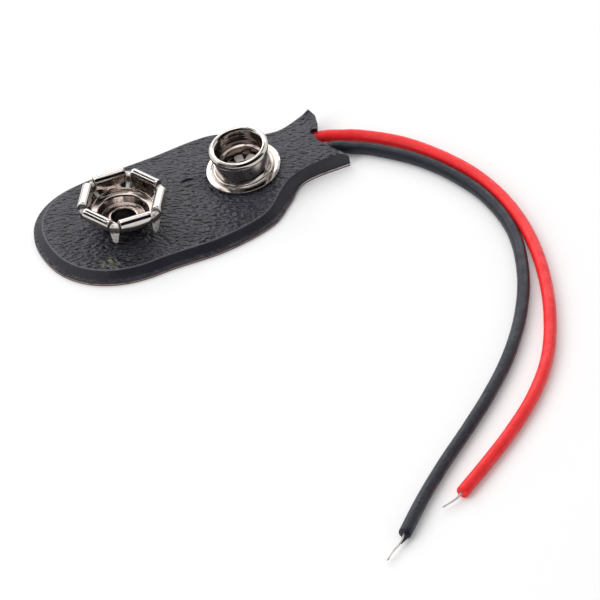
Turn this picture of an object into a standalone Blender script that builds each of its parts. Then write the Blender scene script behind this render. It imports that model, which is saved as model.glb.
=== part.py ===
"""A battery snap connector: a hexagonal socket clip and a stud riveted to a board between two sheets
of grained vinyl, with two free leads that leave through the open tail of the cover.

Lengths are in metres. +Z points out of the snaps, +X runs from the socket clip to the stud and the
tail, and the origin is at the bottom centre of the vinyl cover, on the surface that it lies on.
"""

import math

import bmesh
import bpy
import numpy as np
from mathutils import Matrix, Vector

# Clearance between pieces that touch, far under the thickness of the thinnest sheet
FIT = 0.00003

# Radii of the bends in the drawn sheets
BEND = 0.0002
SMALL_BEND = 0.00012
SHARP_BEND = 0.00005

# Snap contacts
SNAP_PITCH = 0.0127
CLIP_TO_COVER_END = 0.0083
STUD_TO_TAIL_END = 0.0096

# Thickness of each layer, from the surface upwards
BACK_SHEET = 0.00025
RIVET_ROOM = 0.00032
BOARD = 0.0004
TOP_SHEET = 0.00045

# Cover outline: half widths of the far side (+Y) and the near side (-Y) at six stations along X
SHOULDER_TO_STUD = 0.00105
STUD_TO_SLOPE = 0.00195
STUD_TO_NECK = 0.00475
FAR_WIDTHS = (0.00785, 0.0076, 0.0075, 0.006, 0.0031, 0.0042)
NEAR_WIDTHS = (0.00735, 0.00785, 0.0071, 0.0052, 0.0032, 0.0032)
FAR_SQUARENESS = 2.25
NEAR_SQUARENESS = 2.2
LIP_HEIGHT = 0.00018
LOBE_STEPS = 9
EDGE_STEPS = 4
TAIL_STEPS = 9
TOP_COLUMNS = 8
NEAREST_POINT = 0.0001
# The embossed side wall, as (distance in from the lip's edge, share of the climb to the top)
WALL_SHAPE = ((0.0, 0.0), (0.00014, 0.06), (0.0003, 0.14), (0.00058, 0.56), (0.00082, 0.81),
              (0.00112, 0.93), (0.0016, 0.985), (0.0022, 1.0))
WALL = 0.0013
# Where the wall turns steeper towards the tail, over what length, and how much of its slope stays
STUD_TO_STEEPER = 0.0021
STEEPER_REACH = 0.0026
TAIL_SLOPE = 0.04
# The near corner of the tail is rounded down, like a quarter of an ellipse
CORNER_REACH = 0.0017
CORNER_DROP = 0.0015
CORNER_FROM_Y = -0.0022
CORNER_FULL_Y = -0.0029

# The tail's concave end, as (distance before the tail's end, y), the punched notch that the red
# lead shows through, and the leads' tunnel
END_CUT = ((0.0, -0.0034), (0.00025, -0.0031), (0.00085, -0.00265), (0.00128, -0.0021), (0.00157, -0.0013),
           (0.00185, -0.0006), (0.0019, 0.0002), (0.0013, 0.0009), (0.00085, 0.0016), (0.0006, 0.0023),
           (0.00038, 0.003), (0.00045, 0.0037), (0.0008, 0.0045))
NOTCH_RADIUS = 0.00043
NOTCH_TO_TAIL_END = 0.00157
NOTCH_Y = 0.00086
STUD_TO_BOARD_END = 0.00275
TUNNEL_SIDE_ROOM = 0.00028
TUNNEL_TOP_ROOM = 0.00015
MOUTH_WIDTH = 0.0049

# Socket clip: a drawn cup with six rolled petals and six corner tabs
CUP_SHEET = 0.00026
PETAL_SHEET = 0.00022
CUP_FLOOR_RADIUS = 0.00215
LEDGE_RADIUS = 0.00245
LEDGE_HEIGHT = 0.00085
LEDGE_SLOPE = 0.0001
CUP_RADIUS = 0.003
CUP_HEIGHT = 0.0013
PETALS = 6
PETAL_TURN_DEG = 22.5
PETAL_LENGTH = 0.003
PETAL_ROOT_LENGTH = 0.0025
PETAL_WALL_APOTHEM = 0.00311
PETAL_BEND_HEIGHT = 0.0018
PETAL_COLUMNS = 6
ROLL_STEPS = 8
ROLL_RADIUS = 0.00036
ROLL_HEIGHT = 0.00247
FLAP_AT_ENDS = 0.0003
FLAP_IN_MIDDLE = 0.00064
TAB_ROOT_WIDTH = 0.00036
TAB_SHOULDER_WIDTH = 0.001
TAB_TIP_WIDTH = 0.00046
TAB_RADIUS = 0.00345
TAB_ROLL_RADIUS = 0.00031
TAB_ROLL_HEIGHT = 0.0021
TAB_TIP_HEIGHT = 0.00038
TAB_TIP_INSET = 0.00013
TAB_TIP_TURN_DEG = 70
TAB_COLUMNS = 4
TAB_ROLL_STEPS = 6
TAB_DROP_STEPS = 4

# Stud: one drawn sheet from the flange up over the rim and down to the floor
STUD_SHEET = 0.00018
STUD_LEAN_DEG = 8
FLANGE_RADIUS = 0.00348
FLANGE_LIFT = 0.00014
FLANGE_RING = 0.00042
COLLAR_RADIUS = 0.00274
COLLAR_HEIGHT = 0.00034
COLLAR_STEP = 0.00012
NECK_RADIUS = 0.00254
RIM_RADIUS = 0.00271
RIM_DEPTH = 0.00068
STUD_HEIGHT = 0.003
BORE_RADIUS = 0.00227
BORE_STEP_RADIUS = 0.00195
BORE_STEP_HEIGHT = 0.0011
RAMP_START = 0.0014
RAMP_REACH = 0.0023

# Rivets that clamp each contact to the board, in a thin tube
RIVET_SHEET = 0.00015
SOCKET_RIVET_RADIUS = 0.00117
STUD_RIVET_RADIUS = 0.001
RIVET_HEAD_REACH = 0.00058
RIVET_CURL_REACH = 0.00019
STAR_REACH = 0.00062
STAR_LIFT = 0.0002
STAR_PRONGS = 7
STAR_SLIT = 0.00016
STAR_TURN = 0.06

# Leads
LEAD_DIAMETER = 0.0012
STUD_TO_LEAD = 0.00325
LEAD_SPACING = 0.00156
LEAD_REST = 0.00002
STRAND_DIAMETER = 0.00024
TIP_DIAMETER = 0.0003
SOLDER_RADIUS = 0.00042
SOLDER_HEIGHT = 0.00022
# Where each joint sits round its rivet, in radians from +X, and how wide the red strand swings
SOCKET_JOINT = 0.35
STUD_JOINT = -0.25
STRAND_SWING = (0.0022, 0.003, 0.0022)
POINT_SPACING = 0.0028
CURVE_STEPS = 12
# How high above rest each lead still is at its first points past the tail
LEAD_DROP = (1.0, 1.0, 0.45, 0.1)

# Hand-chosen route of each lead past the tail, as (x, y) on the surface, and then its bare tip
RED_ROUTE = ((0.0134, 0.0011), (0.0148, 0.0009), (0.0162, 0.00025), (0.0178, -0.0007), (0.0205, -0.0036),
             (0.0225, -0.0073), (0.0239, -0.0116), (0.0243, -0.0166), (0.0236, -0.022),
             (0.0219, -0.0274), (0.0195, -0.0325), (0.0164, -0.0373), (0.0127, -0.0411),
             (0.0087, -0.0441), (0.0047, -0.0466), (0.0009, -0.0488))
RED_TIP = ((0.0, -0.0492), (-0.0014, -0.0494))
BLACK_ROUTE = ((0.0134, -0.0009), (0.0148, -0.001), (0.0162, -0.0019), (0.0177, -0.003), (0.0204, -0.0065),
               (0.0222, -0.0106), (0.0231, -0.0153), (0.0226, -0.0207), (0.0204, -0.0262),
               (0.0173, -0.031), (0.0136, -0.0352), (0.0096, -0.0387), (0.0056, -0.0417),
               (0.0015, -0.0446), (-0.0024, -0.0476), (-0.006, -0.0507))
BLACK_TIP = ((-0.0069, -0.0515), (-0.008, -0.0521), (-0.0089, -0.0527))

# Places that follow from the sizes
COVER_LENGTH = CLIP_TO_COVER_END + SNAP_PITCH + STUD_TO_TAIL_END
COVER_START_X = -COVER_LENGTH / 2
TAIL_END_X = COVER_LENGTH / 2
CLIP_X = COVER_START_X + CLIP_TO_COVER_END
STUD_X = CLIP_X + SNAP_PITCH
SHOULDER_X = STUD_X - SHOULDER_TO_STUD
SLOPE_X = STUD_X + STUD_TO_SLOPE
NECK_X = STUD_X + STUD_TO_NECK
BOARD_END_X = STUD_X + STUD_TO_BOARD_END
LEAD_START_X = STUD_X + STUD_TO_LEAD
STEEPER_X = STUD_X + STUD_TO_STEEPER
NOTCH_X = TAIL_END_X - NOTCH_TO_TAIL_END
BOARD_BOTTOM = BACK_SHEET + RIVET_ROOM
BODY_HEIGHT = BOARD_BOTTOM + BOARD + FIT + TOP_SHEET
LEAN = math.radians(STUD_LEAN_DEG)
RAMP_FROM = STUD_X - RAMP_START
RAMP_TO = STUD_X + RAMP_REACH
LEAD_RADIUS = LEAD_DIAMETER / 2
LEAD_INSIDE_Z = BACK_SHEET + FIT + LEAD_RADIUS
BOARD_UNDER_TOP = TOP_SHEET + FIT + BOARD
ROUND_STEPS = 32
SMALL_ROUND_STEPS = 24


def clear_scene():
    for item in list(bpy.data.objects):
        bpy.data.objects.remove(item)


def material(name, colour, roughness, metallic=0.0):
    made = bpy.data.materials.new(name)
    made.use_nodes = True
    shader = made.node_tree.nodes["Principled BSDF"]
    shader.inputs["Base Color"].default_value = (*colour, 1.0)
    shader.inputs["Roughness"].default_value = roughness
    shader.inputs["Metallic"].default_value = metallic
    return made


def make_object(name, mesh, surface=None):
    made = bpy.data.objects.new(name, mesh)
    bpy.context.scene.collection.objects.link(made)
    if surface:
        mesh.materials.append(surface)
    return made


def mesh_from(name, bm, smooth=True):
    """A mesh from bm with its faces out, shaded smooth apart from its sharp edges."""
    bmesh.ops.recalc_face_normals(bm, faces=bm.faces)
    if bm.calc_volume(signed=True) < 0:
        bmesh.ops.reverse_faces(bm, faces=bm.faces)
    mesh = bpy.data.meshes.new(name)
    bm.to_mesh(mesh)
    bm.free()
    if smooth:
        mesh.shade_smooth()
        mesh.set_sharp_from_angle(angle=math.radians(35))
    return mesh


def combine(target, helper, operation):
    """A Boolean that cuts the helper from the target, or joins it, and hides the helper."""
    helper.hide_render = True
    helper.display_type = "WIRE"
    step = target.modifiers.new(helper.name, "BOOLEAN")
    step.operation = operation
    step.object = helper
    step.solver = "EXACT"


def cut(target, *cutters):
    for cutter in cutters:
        combine(target, cutter, "DIFFERENCE")


def rounded_path(corners):
    """The points of a path through (x, y, fillet radius) corners."""
    points = [np.array(corners[0][:2], float)]
    for before, corner, after in zip(corners, corners[1:], corners[2:]):
        here = np.array(corner[:2], float)
        back = np.array(before[:2], float) - here
        ahead = np.array(after[:2], float) - here
        back_length = np.linalg.norm(back)
        ahead_length = np.linalg.norm(ahead)
        back /= back_length
        ahead /= ahead_length
        turn = math.acos(np.clip(-back @ ahead, -1, 1))
        radius = min(corner[2], 0.45 * min(back_length, ahead_length) / math.tan(turn / 2))
        reach = radius * math.tan(turn / 2)
        centre = here + (back + ahead) / np.linalg.norm(back + ahead) * radius / math.cos(turn / 2)
        start = here + back * reach - centre
        steps = max(1, round(turn / math.radians(38)))
        way = math.copysign(turn, start[1] * back[0] - start[0] * back[1])
        for step in range(steps + 1):
            angle = way * step / steps
            turned_start = (start[0] * math.cos(angle) - start[1] * math.sin(angle),
                            start[0] * math.sin(angle) + start[1] * math.cos(angle))
            points.append(centre + turned_start)
    points.append(np.array(corners[-1][:2], float))
    return np.array(points)


def path_normals(points):
    """The left-hand normal at each point of an open path, mitred so that an offset keeps its width."""
    ways = np.diff(points, axis=0)
    ways /= np.linalg.norm(ways, axis=1)[:, None]
    sides = np.stack([-ways[:, 1], ways[:, 0]], axis=1)
    before = np.vstack([sides[:1], sides])
    after = np.vstack([sides, sides[-1:]])
    middle = before + after
    return middle / (1 + (before * after).sum(axis=1))[:, None]


def sheet_section(path, thickness):
    """The closed outline of a sheet of this thickness that follows the path."""
    offsets = path_normals(path) * thickness / 2
    return np.vstack([path + offsets, (path - offsets)[::-1]])


def turned(name, section, surface, steps=ROUND_STEPS):
    """A solid of revolution about Z from a closed section of (radius, z) points off the axis."""
    bm = bmesh.new()
    ring = [bm.verts.new((radius, 0, z)) for radius, z in section]
    edges = [bm.edges.new((ring[i - 1], ring[i])) for i in range(len(ring))]
    bmesh.ops.spin(bm, geom=ring + edges, cent=(0, 0, 0), axis=(0, 0, 1), angle=2 * math.pi,
                   steps=steps, use_merge=True)
    bmesh.ops.remove_doubles(bm, verts=bm.verts, dist=1e-7)
    return make_object(name, mesh_from(name, bm), surface)


def cylinder(name, radius, low, high, steps=ROUND_STEPS):
    bm = bmesh.new()
    bmesh.ops.create_cone(bm, cap_ends=True, segments=steps, radius1=radius, radius2=radius,
                          depth=high - low, matrix=Matrix.Translation((0, 0, (low + high) / 2)))
    return make_object(name, mesh_from(name, bm, smooth=False))


def extruded(name, outline, low, high):
    """A prism over a closed outline of (x, y) points."""
    bm = bmesh.new()
    base = bm.faces.new([bm.verts.new((x, y, low)) for x, y in outline])
    raised = bmesh.ops.extrude_face_region(bm, geom=[base])["geom"]
    moved = [item for item in raised if isinstance(item, bmesh.types.BMVert)]
    bmesh.ops.translate(bm, verts=moved, vec=(0, 0, high - low))
    return make_object(name, mesh_from(name, bm, smooth=False))


def through(knots, steps, before_first=None):
    """A smooth curve through the knots, with this many steps in each span."""
    first = 2 * knots[0] - knots[1] if before_first is None else before_first
    ends = np.vstack([first, knots, 2 * knots[-1] - knots[-2]])
    fine = []
    for before, start, stop, after in zip(ends, ends[1:], ends[2:], ends[3:]):
        for share in np.linspace(0, 1, steps, endpoint=False):
            fine.append(0.5 * (2 * start + (stop - before) * share
                               + (2 * before - 5 * start + 4 * stop - after) * share ** 2
                               + (3 * start - before - 3 * stop + after) * share ** 3))
    fine.append(knots[-1])
    return np.array(fine)


def smooth_curve(points, spacing):
    """Points about this far apart on a smooth curve through the given points."""
    fine = through(np.array(points, float), CURVE_STEPS)
    along = np.concatenate([[0], np.cumsum(np.linalg.norm(np.diff(fine, axis=0), axis=1))])
    places = np.linspace(0, along[-1], max(2, round(along[-1] / spacing)) + 1)
    return np.stack([np.interp(places, along, fine[:, k]) for k in range(fine.shape[1])], axis=1)


def tube(name, points, diameter, surface):
    """A round cord along the points, with closed ends."""
    curve = bpy.data.curves.new(name, "CURVE")
    curve.dimensions = "3D"
    curve.bevel_depth = diameter / 2
    curve.bevel_resolution = 2
    curve.use_fill_caps = True
    spline = curve.splines.new("POLY")
    spline.points.add(len(points) - 1)
    for point, place in zip(spline.points, points):
        point.co = (*place, 1)
    curve.materials.append(surface)
    made = bpy.data.objects.new(name, curve)
    bpy.context.scene.collection.objects.link(made)
    return made


def rise(x):
    """How far the board and the top sheet climb over the leads, in a ramp that carries the stud."""
    return math.tan(LEAN) * min(max(x - RAMP_FROM, 0), RAMP_TO - RAMP_FROM)


def eased(share):
    """A smooth climb from 0 to 1 as the share goes from 0 to 1."""
    held = min(max(share, 0), 1)
    return held * held * (3 - 2 * held)


def top_of_body(x, y):
    """The height of the cover's top: level, then the ramp, then down at the tail's near corner."""
    across = eased((CORNER_FROM_Y - y) / (CORNER_FROM_Y - CORNER_FULL_Y))
    along = min(max((x - TAIL_END_X + CORNER_REACH) / CORNER_REACH, 0), 1)
    return BODY_HEIGHT + rise(x) - CORNER_DROP * across * (1 - math.sqrt(1 - along ** 2))


def cover_edge(widths, side, squareness):
    """Points of one side of the lip's edge, from the middle of the round end to past the tail."""
    lobe = []
    for angle in np.linspace(0, math.pi / 2, LOBE_STEPS, endpoint=False):
        power = 2 / squareness
        lobe.append((CLIP_X - CLIP_TO_COVER_END * math.cos(angle) ** power,
                     side * widths[0] * math.sin(angle) ** power))
    middle_x = (CLIP_X + STUD_X) / 2
    stations = (CLIP_X, middle_x, SHOULDER_X, SLOPE_X, NECK_X, TAIL_END_X)
    knots = np.array([(x, side * width) for x, width in zip(stations, widths)])
    mirrored = (2 * CLIP_X - middle_x, side * widths[1])
    before_tail = through(knots, EDGE_STEPS, mirrored)[:-EDGE_STEPS]
    tail = through(knots, TAIL_STEPS, mirrored)[-TAIL_STEPS:]
    return np.vstack([lobe, before_tail, tail])


def inset_edges(inset):
    """The near and far edges of the cover, moved in by the inset, as two lists that pair up."""
    pairs = []
    for widths, side, squareness in ((NEAR_WIDTHS, -1, NEAR_SQUARENESS), (FAR_WIDTHS, 1, FAR_SQUARENESS)):
        points = cover_edge(widths, side, squareness)
        ways = np.gradient(points, axis=0)
        ways[0] = (0, side)
        ways[-1] = (1, 0)
        ways /= np.linalg.norm(ways, axis=1)[:, None]
        inwards = side * np.stack([ways[:, 1], -ways[:, 0]], axis=1)
        slopes = [1 - (1 - TAIL_SLOPE) * eased((x - STEEPER_X) / STEEPER_REACH) for x in points[:, 0]]
        pairs.append(points + inwards * inset * np.array(slopes)[:, None])
    return pairs


def trimmed_at(edges, end_x):
    """The edges up to end_x, with a last pair of points on it."""
    made = []
    for points in edges:
        kept = points[points[:, 0] < end_x - NEAREST_POINT]
        made.append(np.vstack([kept, (end_x, np.interp(end_x, points[:, 0], points[:, 1]))]))
    count = min(len(points) for points in made)
    return [np.vstack([points[:count - 1], points[-1:]]) for points in made]


def ladder(bm, near, far, height, columns=TOP_COLUMNS):
    """A surface between two edges that share their first point, as rows of vertices across it."""
    rows = [[bm.verts.new((near[0][0], near[0][1], height(*near[0])))]]
    for start, stop in zip(near[1:], far[1:]):
        row = []
        for share in np.linspace(0, 1, columns + 1):
            x, y = start + (stop - start) * share
            row.append(bm.verts.new((x, y, height(x, y))))
        rows.append(row)
    tip = rows[0][0]
    for left, right in zip(rows[1], rows[1][1:]):
        bm.faces.new((tip, left, right))
    for row, following in zip(rows[1:], rows[2:]):
        for k in range(columns):
            bm.faces.new((row[k], following[k], following[k + 1], row[k + 1]))
    return rows


def border(rows):
    """The vertices round a ladder's open side edges, from the near end round to the far end."""
    return [row[0] for row in rows[:0:-1]] + [rows[0][0]] + [row[-1] for row in rows[1:]]


def bridge(bm, first, second):
    for a, b, c, d in zip(first, first[1:], second[1:], second):
        bm.faces.new((a, b, c, d))


def slab(name, edges, low, high, surface=None):
    """A plate between two heights, each a function of x and y, inside paired edges."""
    bm = bmesh.new()
    bottom = ladder(bm, *edges, low)
    top = ladder(bm, *edges, high)
    bridge(bm, border(bottom), border(top))
    bridge(bm, bottom[-1], top[-1])
    return make_object(name, mesh_from(name, bm), surface)


def tail_cutter(name):
    """Everything past the cover's concave end, as a tall prism."""
    reach = 2 * max(FAR_WIDTHS)
    curve = through(np.array([(TAIL_END_X - before, y) for before, y in END_CUT]), 2)
    outline = [(TAIL_END_X, -reach), *curve, (curve[-1][0], reach), (TAIL_END_X + reach, reach),
               (TAIL_END_X + reach, -reach)]
    return extruded(name, outline, -BODY_HEIGHT, 4 * BODY_HEIGHT)


def at_clip(item):
    item.location = (CLIP_X, 0, BODY_HEIGHT)
    return item


def at_stud(item):
    item.location = (STUD_X, 0, BODY_HEIGHT + rise(STUD_X))
    item.rotation_euler = (0, -LEAN, 0)
    return item


def rivet_holes(name):
    """Cutters for the two rivets' holes through the top sheet and the board."""
    reach = 2 * BODY_HEIGHT
    room = RIVET_SHEET / 2 + 2 * FIT
    return (at_clip(cylinder(f"{name}_socket_hole", SOCKET_RIVET_RADIUS + room, -reach, reach)),
            at_stud(cylinder(f"{name}_stud_hole", STUD_RIVET_RADIUS + room, -reach, reach)))


def make_top_cover(surface):
    """The embossed top sheet: lip, side wall, flat top, board pocket, lead tunnel and open tail."""
    lip_top = BACK_SHEET + FIT + LIP_HEIGHT

    def wall_height(share):
        return lambda x, y: lip_top + (top_of_body(x, y) - lip_top) * share

    bm = bmesh.new()
    bottom = ladder(bm, *inset_edges(0), lambda x, y: BACK_SHEET + FIT)
    loops = [border(bottom)]
    for inset, share in WALL_SHAPE[:-1]:
        near, far = inset_edges(inset)
        height = wall_height(share)
        outline = [*near[:0:-1], *far]
        loops.append([bm.verts.new((x, y, height(x, y))) for x, y in outline])
    inset, share = WALL_SHAPE[-1]
    top = ladder(bm, *inset_edges(inset), wall_height(share))
    loops.append(border(top))
    for first, second in zip(loops, loops[1:]):
        bridge(bm, first, second)
    near_end = [loop[0] for loop in loops[1:-1]]
    far_end = [loop[-1] for loop in loops[1:-1]]
    bm.faces.new([*bottom[-1][::-1], *near_end, *top[-1], *far_end[::-1]])
    cover = make_object("top_cover", mesh_from("top_cover", bm), surface)

    pocket_edges = trimmed_at(inset_edges(WALL), BOARD_END_X + 4 * FIT)
    pocket = slab("board_pocket", pocket_edges, lambda x, y: -BACK_SHEET,
                  lambda x, y: BODY_HEIGHT - TOP_SHEET + rise(x))
    side = LEAD_SPACING / 2 + LEAD_RADIUS + TUNNEL_SIDE_ROOM
    mouth = MOUTH_WIDTH / 2
    past_tail = TAIL_END_X + BODY_HEIGHT
    tunnel_outline = [(BOARD_END_X - BODY_HEIGHT, -side), (NECK_X, -side), (TAIL_END_X, -mouth),
                      (past_tail, -mouth), (past_tail, mouth), (TAIL_END_X, mouth), (NECK_X, side),
                      (BOARD_END_X - BODY_HEIGHT, side)]
    tunnel = extruded("lead_tunnel", tunnel_outline, -BACK_SHEET,
                      BACK_SHEET + LEAD_DIAMETER + TUNNEL_TOP_ROOM)
    notch = cylinder("red_lead_notch", NOTCH_RADIUS, BACK_SHEET, 4 * BODY_HEIGHT, SMALL_ROUND_STEPS)
    notch.location = (NOTCH_X, NOTCH_Y, 0)
    flange_dent = at_stud(cylinder("flange_dent", FLANGE_RADIUS + FIT, 0, STUD_HEIGHT))
    cut(cover, pocket, tunnel, tail_cutter("top_tail_cut"), notch, flange_dent,
        *rivet_holes("top_cover"))
    return cover


def make_back_cover(surface):
    """The flat back sheet, cut to the same outline as the top sheet's lip."""
    cover = slab("back_cover", inset_edges(0), lambda x, y: 0.0, lambda x, y: BACK_SHEET, surface)
    cut(cover, tail_cutter("back_tail_cut"))
    return cover


def make_board(surface):
    """The stiff board under the top sheet, bent up where the leads come in under it."""
    edges = trimmed_at(inset_edges(WALL + 3 * FIT), BOARD_END_X)
    board = slab("insulating_board", edges, lambda x, y: BOARD_BOTTOM + rise(x),
                 lambda x, y: BOARD_BOTTOM + BOARD + rise(x), surface)
    cut(board, *rivet_holes("board"))
    return board


def sheet_strips(name, columns_at, paths, thickness):
    """Bent strips of sheet: for each turn about Z, one path of (radius, side, z) points per column."""
    bm = bmesh.new()
    for turn in columns_at:
        about = Matrix.Rotation(turn, 4, "Z")
        skins = []
        for sign in (1, -1):
            skin = []
            for path in paths:
                flat = path[:, [0, 2]]
                moved = flat + sign * path_normals(flat) * thickness / 2
                places = np.stack([moved[:, 0], path[:, 1], moved[:, 1]], axis=1)
                skin.append([bm.verts.new(about @ Vector(place)) for place in places])
            skins.append(skin)
        for skin in skins:
            for column, following in zip(skin, skin[1:]):
                bridge(bm, column, following)
        for end in (0, -1):
            bridge(bm, skins[0][end], skins[1][end])
            bridge(bm, [column[end] for column in skins[0]], [column[end] for column in skins[1]])
    return make_object(name, mesh_from(name, bm))


def petal_paths():
    """Each column of a petal: up from the round cup to the flat side, over in a roll and down."""
    paths = []
    half = PETAL_LENGTH / 2
    root = CUP_HEIGHT - CUP_SHEET
    roll_x = PETAL_WALL_APOTHEM + ROLL_RADIUS
    flap_x = roll_x + ROLL_RADIUS
    for across in np.linspace(-half, half, PETAL_COLUMNS + 1):
        root_across = across * PETAL_ROOT_LENGTH / PETAL_LENGTH
        start = math.sqrt(CUP_RADIUS ** 2 - root_across ** 2)
        flap = FLAP_IN_MIDDLE + (FLAP_AT_ENDS - FLAP_IN_MIDDLE) * (across / half) ** 2
        places = [(start, root_across, root), (start, root_across, CUP_HEIGHT),
                  (PETAL_WALL_APOTHEM, across, PETAL_BEND_HEIGHT)]
        for angle in np.linspace(math.pi, 0, ROLL_STEPS + 1):
            places.append((roll_x + ROLL_RADIUS * math.cos(angle), across,
                           ROLL_HEIGHT + ROLL_RADIUS * math.sin(angle)))
        places.append((flap_x, across, ROLL_HEIGHT - flap))
        paths.append(np.array(places))
    return paths


def tab_paths():
    """Each column of a corner tab: up through the gap between petals, over, and down to the vinyl."""
    centre_x = TAB_RADIUS + TAB_ROLL_RADIUS
    start_x = centre_x + TAB_ROLL_RADIUS
    root_z = CUP_HEIGHT - CUP_SHEET
    paths = []
    for share in np.linspace(-1, 1, TAB_COLUMNS + 1):
        places = [(CUP_RADIUS, root_z, TAB_ROOT_WIDTH), (CUP_RADIUS, CUP_HEIGHT, TAB_ROOT_WIDTH),
                  (TAB_RADIUS, TAB_ROLL_HEIGHT - TAB_ROLL_RADIUS, TAB_ROOT_WIDTH)]
        for angle in np.linspace(math.pi, 0, TAB_ROLL_STEPS + 1):
            spread = (1 + math.cos(angle)) / 2
            places.append((centre_x + TAB_ROLL_RADIUS * math.cos(angle),
                           TAB_ROLL_HEIGHT + TAB_ROLL_RADIUS * math.sin(angle),
                           TAB_ROOT_WIDTH + (TAB_SHOULDER_WIDTH - TAB_ROOT_WIDTH) * spread))
        round_end = TAB_TIP_WIDTH / 2 * (1 - math.cos(math.radians(TAB_TIP_TURN_DEG) * share))
        for down in np.linspace(0, 1, TAB_DROP_STEPS + 1)[1:]:
            z = TAB_ROLL_HEIGHT + (TAB_TIP_HEIGHT - TAB_ROLL_HEIGHT) * down
            places.append((start_x - TAB_TIP_INSET * down, z + round_end * down ** 3,
                           TAB_SHOULDER_WIDTH + (TAB_TIP_WIDTH - TAB_SHOULDER_WIDTH) * down))
        paths.append(np.array([(x, share * width / 2, z) for x, z, width in places]))
    return paths


def make_socket_crown(surface):
    """The female clip: a stepped cup whose wall opens into six rolled petals and six corner tabs."""
    floor = FIT + CUP_SHEET / 2
    bore = SOCKET_RIVET_RADIUS + RIVET_SHEET / 2 + 2 * FIT
    corners = ((bore, floor, 0), (CUP_FLOOR_RADIUS, floor, BEND), (LEDGE_RADIUS, LEDGE_HEIGHT, BEND),
               (CUP_RADIUS, LEDGE_HEIGHT + LEDGE_SLOPE, SMALL_BEND), (CUP_RADIUS, CUP_HEIGHT, 0))
    crown = turned("socket_crown", sheet_section(rounded_path(corners), CUP_SHEET), surface)
    first = math.radians(PETAL_TURN_DEG)
    turns = [first + 2 * math.pi * k / PETALS for k in range(PETALS)]
    petals = sheet_strips("petals", turns, petal_paths(), PETAL_SHEET)
    tabs = sheet_strips("corner_tabs", [turn + math.pi / PETALS for turn in turns], tab_paths(),
                        PETAL_SHEET)
    for helper in (petals, tabs):
        combine(crown, at_clip(helper), "UNION")
    return at_clip(crown)


def make_stud_cup(surface):
    """The male stud: flange, groove, collar, neck, rolled rim, stepped bore and floor in one sheet."""
    seat = FIT + STUD_SHEET / 2
    bore = STUD_RIVET_RADIUS + RIVET_SHEET / 2 + 2 * FIT
    rim_bottom = STUD_HEIGHT - RIM_DEPTH
    corners = ((FLANGE_RADIUS, seat + FLANGE_LIFT, 0),
               (FLANGE_RADIUS - FLANGE_RING, seat + FLANGE_LIFT, SHARP_BEND),
               (FLANGE_RADIUS - FLANGE_RING - FLANGE_LIFT / 2, seat, SHARP_BEND),
               (COLLAR_RADIUS + COLLAR_STEP, seat, SHARP_BEND),
               (COLLAR_RADIUS, seat + COLLAR_HEIGHT, SMALL_BEND),
               (COLLAR_RADIUS - COLLAR_STEP, seat + COLLAR_HEIGHT, SMALL_BEND),
               (NECK_RADIUS, seat + 2 * COLLAR_HEIGHT, BEND), (NECK_RADIUS, rim_bottom, BEND),
               (RIM_RADIUS, rim_bottom + RIM_DEPTH / 3, BEND),
               (RIM_RADIUS, STUD_HEIGHT - RIM_DEPTH / 4, SMALL_BEND),
               (RIM_RADIUS - RIM_DEPTH / 4, STUD_HEIGHT, SMALL_BEND),
               (BORE_RADIUS + RIM_DEPTH / 6, STUD_HEIGHT, SMALL_BEND),
               (BORE_RADIUS, STUD_HEIGHT - RIM_DEPTH / 4, SMALL_BEND),
               (BORE_RADIUS, BORE_STEP_HEIGHT, SMALL_BEND),
               (BORE_STEP_RADIUS, BORE_STEP_HEIGHT - COLLAR_STEP, SMALL_BEND),
               (BORE_STEP_RADIUS, seat, SMALL_BEND), (bore, seat, 0))
    stud = turned("stud_cup", sheet_section(rounded_path(corners), STUD_SHEET), surface)
    return at_stud(stud)


def rivet_head_z():
    """The middle of a rivet's back head, under the board, measured from the seat of its contact."""
    return -BOARD_UNDER_TOP - FIT - RIVET_SHEET / 2


def make_socket_rivet(surface):
    """The hollow rivet of the clip: back head, tube and a round curled rim on the cup's floor."""
    curl = 2 * FIT + CUP_SHEET + RIVET_SHEET / 2
    radius = SOCKET_RIVET_RADIUS
    corners = ((radius + RIVET_HEAD_REACH, rivet_head_z(), 0), (radius, rivet_head_z(), SMALL_BEND),
               (radius, curl, SMALL_BEND), (radius + RIVET_CURL_REACH, curl, 0))
    section = sheet_section(rounded_path(corners), RIVET_SHEET)
    return at_clip(turned("socket_rivet", section, surface, SMALL_ROUND_STEPS))


def make_stud_rivet(surface):
    """The hollow rivet of the stud, whose end is split and spread in a star on the floor."""
    floor = 2 * FIT + STUD_SHEET + RIVET_SHEET / 2
    radius = STUD_RIVET_RADIUS
    corners = ((radius + RIVET_HEAD_REACH, rivet_head_z(), 0), (radius, rivet_head_z(), SMALL_BEND),
               (radius, floor, SMALL_BEND), (radius + STAR_REACH, floor + STAR_LIFT, 0))
    section = sheet_section(rounded_path(corners), RIVET_SHEET)
    rivet = turned("stud_rivet", section, surface, SMALL_ROUND_STEPS)
    bm = bmesh.new()
    for prong in range(STAR_PRONGS):
        about = Matrix.Rotation(2 * math.pi * (prong + STAR_TURN) / STAR_PRONGS, 4, "Z")
        inner = radius + RIVET_SHEET / 2 + FIT
        outer = radius + 2 * STAR_REACH
        corners = [(inner, 0), (outer, -STAR_SLIT * 2), (outer, STAR_SLIT * 2)]
        base = bm.faces.new([bm.verts.new(about @ Vector((x, y, 0))) for x, y in corners])
        raised = bmesh.ops.extrude_face_region(bm, geom=[base])["geom"]
        moved = [item for item in raised if isinstance(item, bmesh.types.BMVert)]
        bmesh.ops.translate(bm, verts=moved, vec=(0, 0, 2 * BODY_HEIGHT))
    slits = at_stud(make_object("star_slits", mesh_from("star_slits", bm, smooth=False)))
    cut(rivet, slits)
    return at_stud(rivet)


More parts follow.
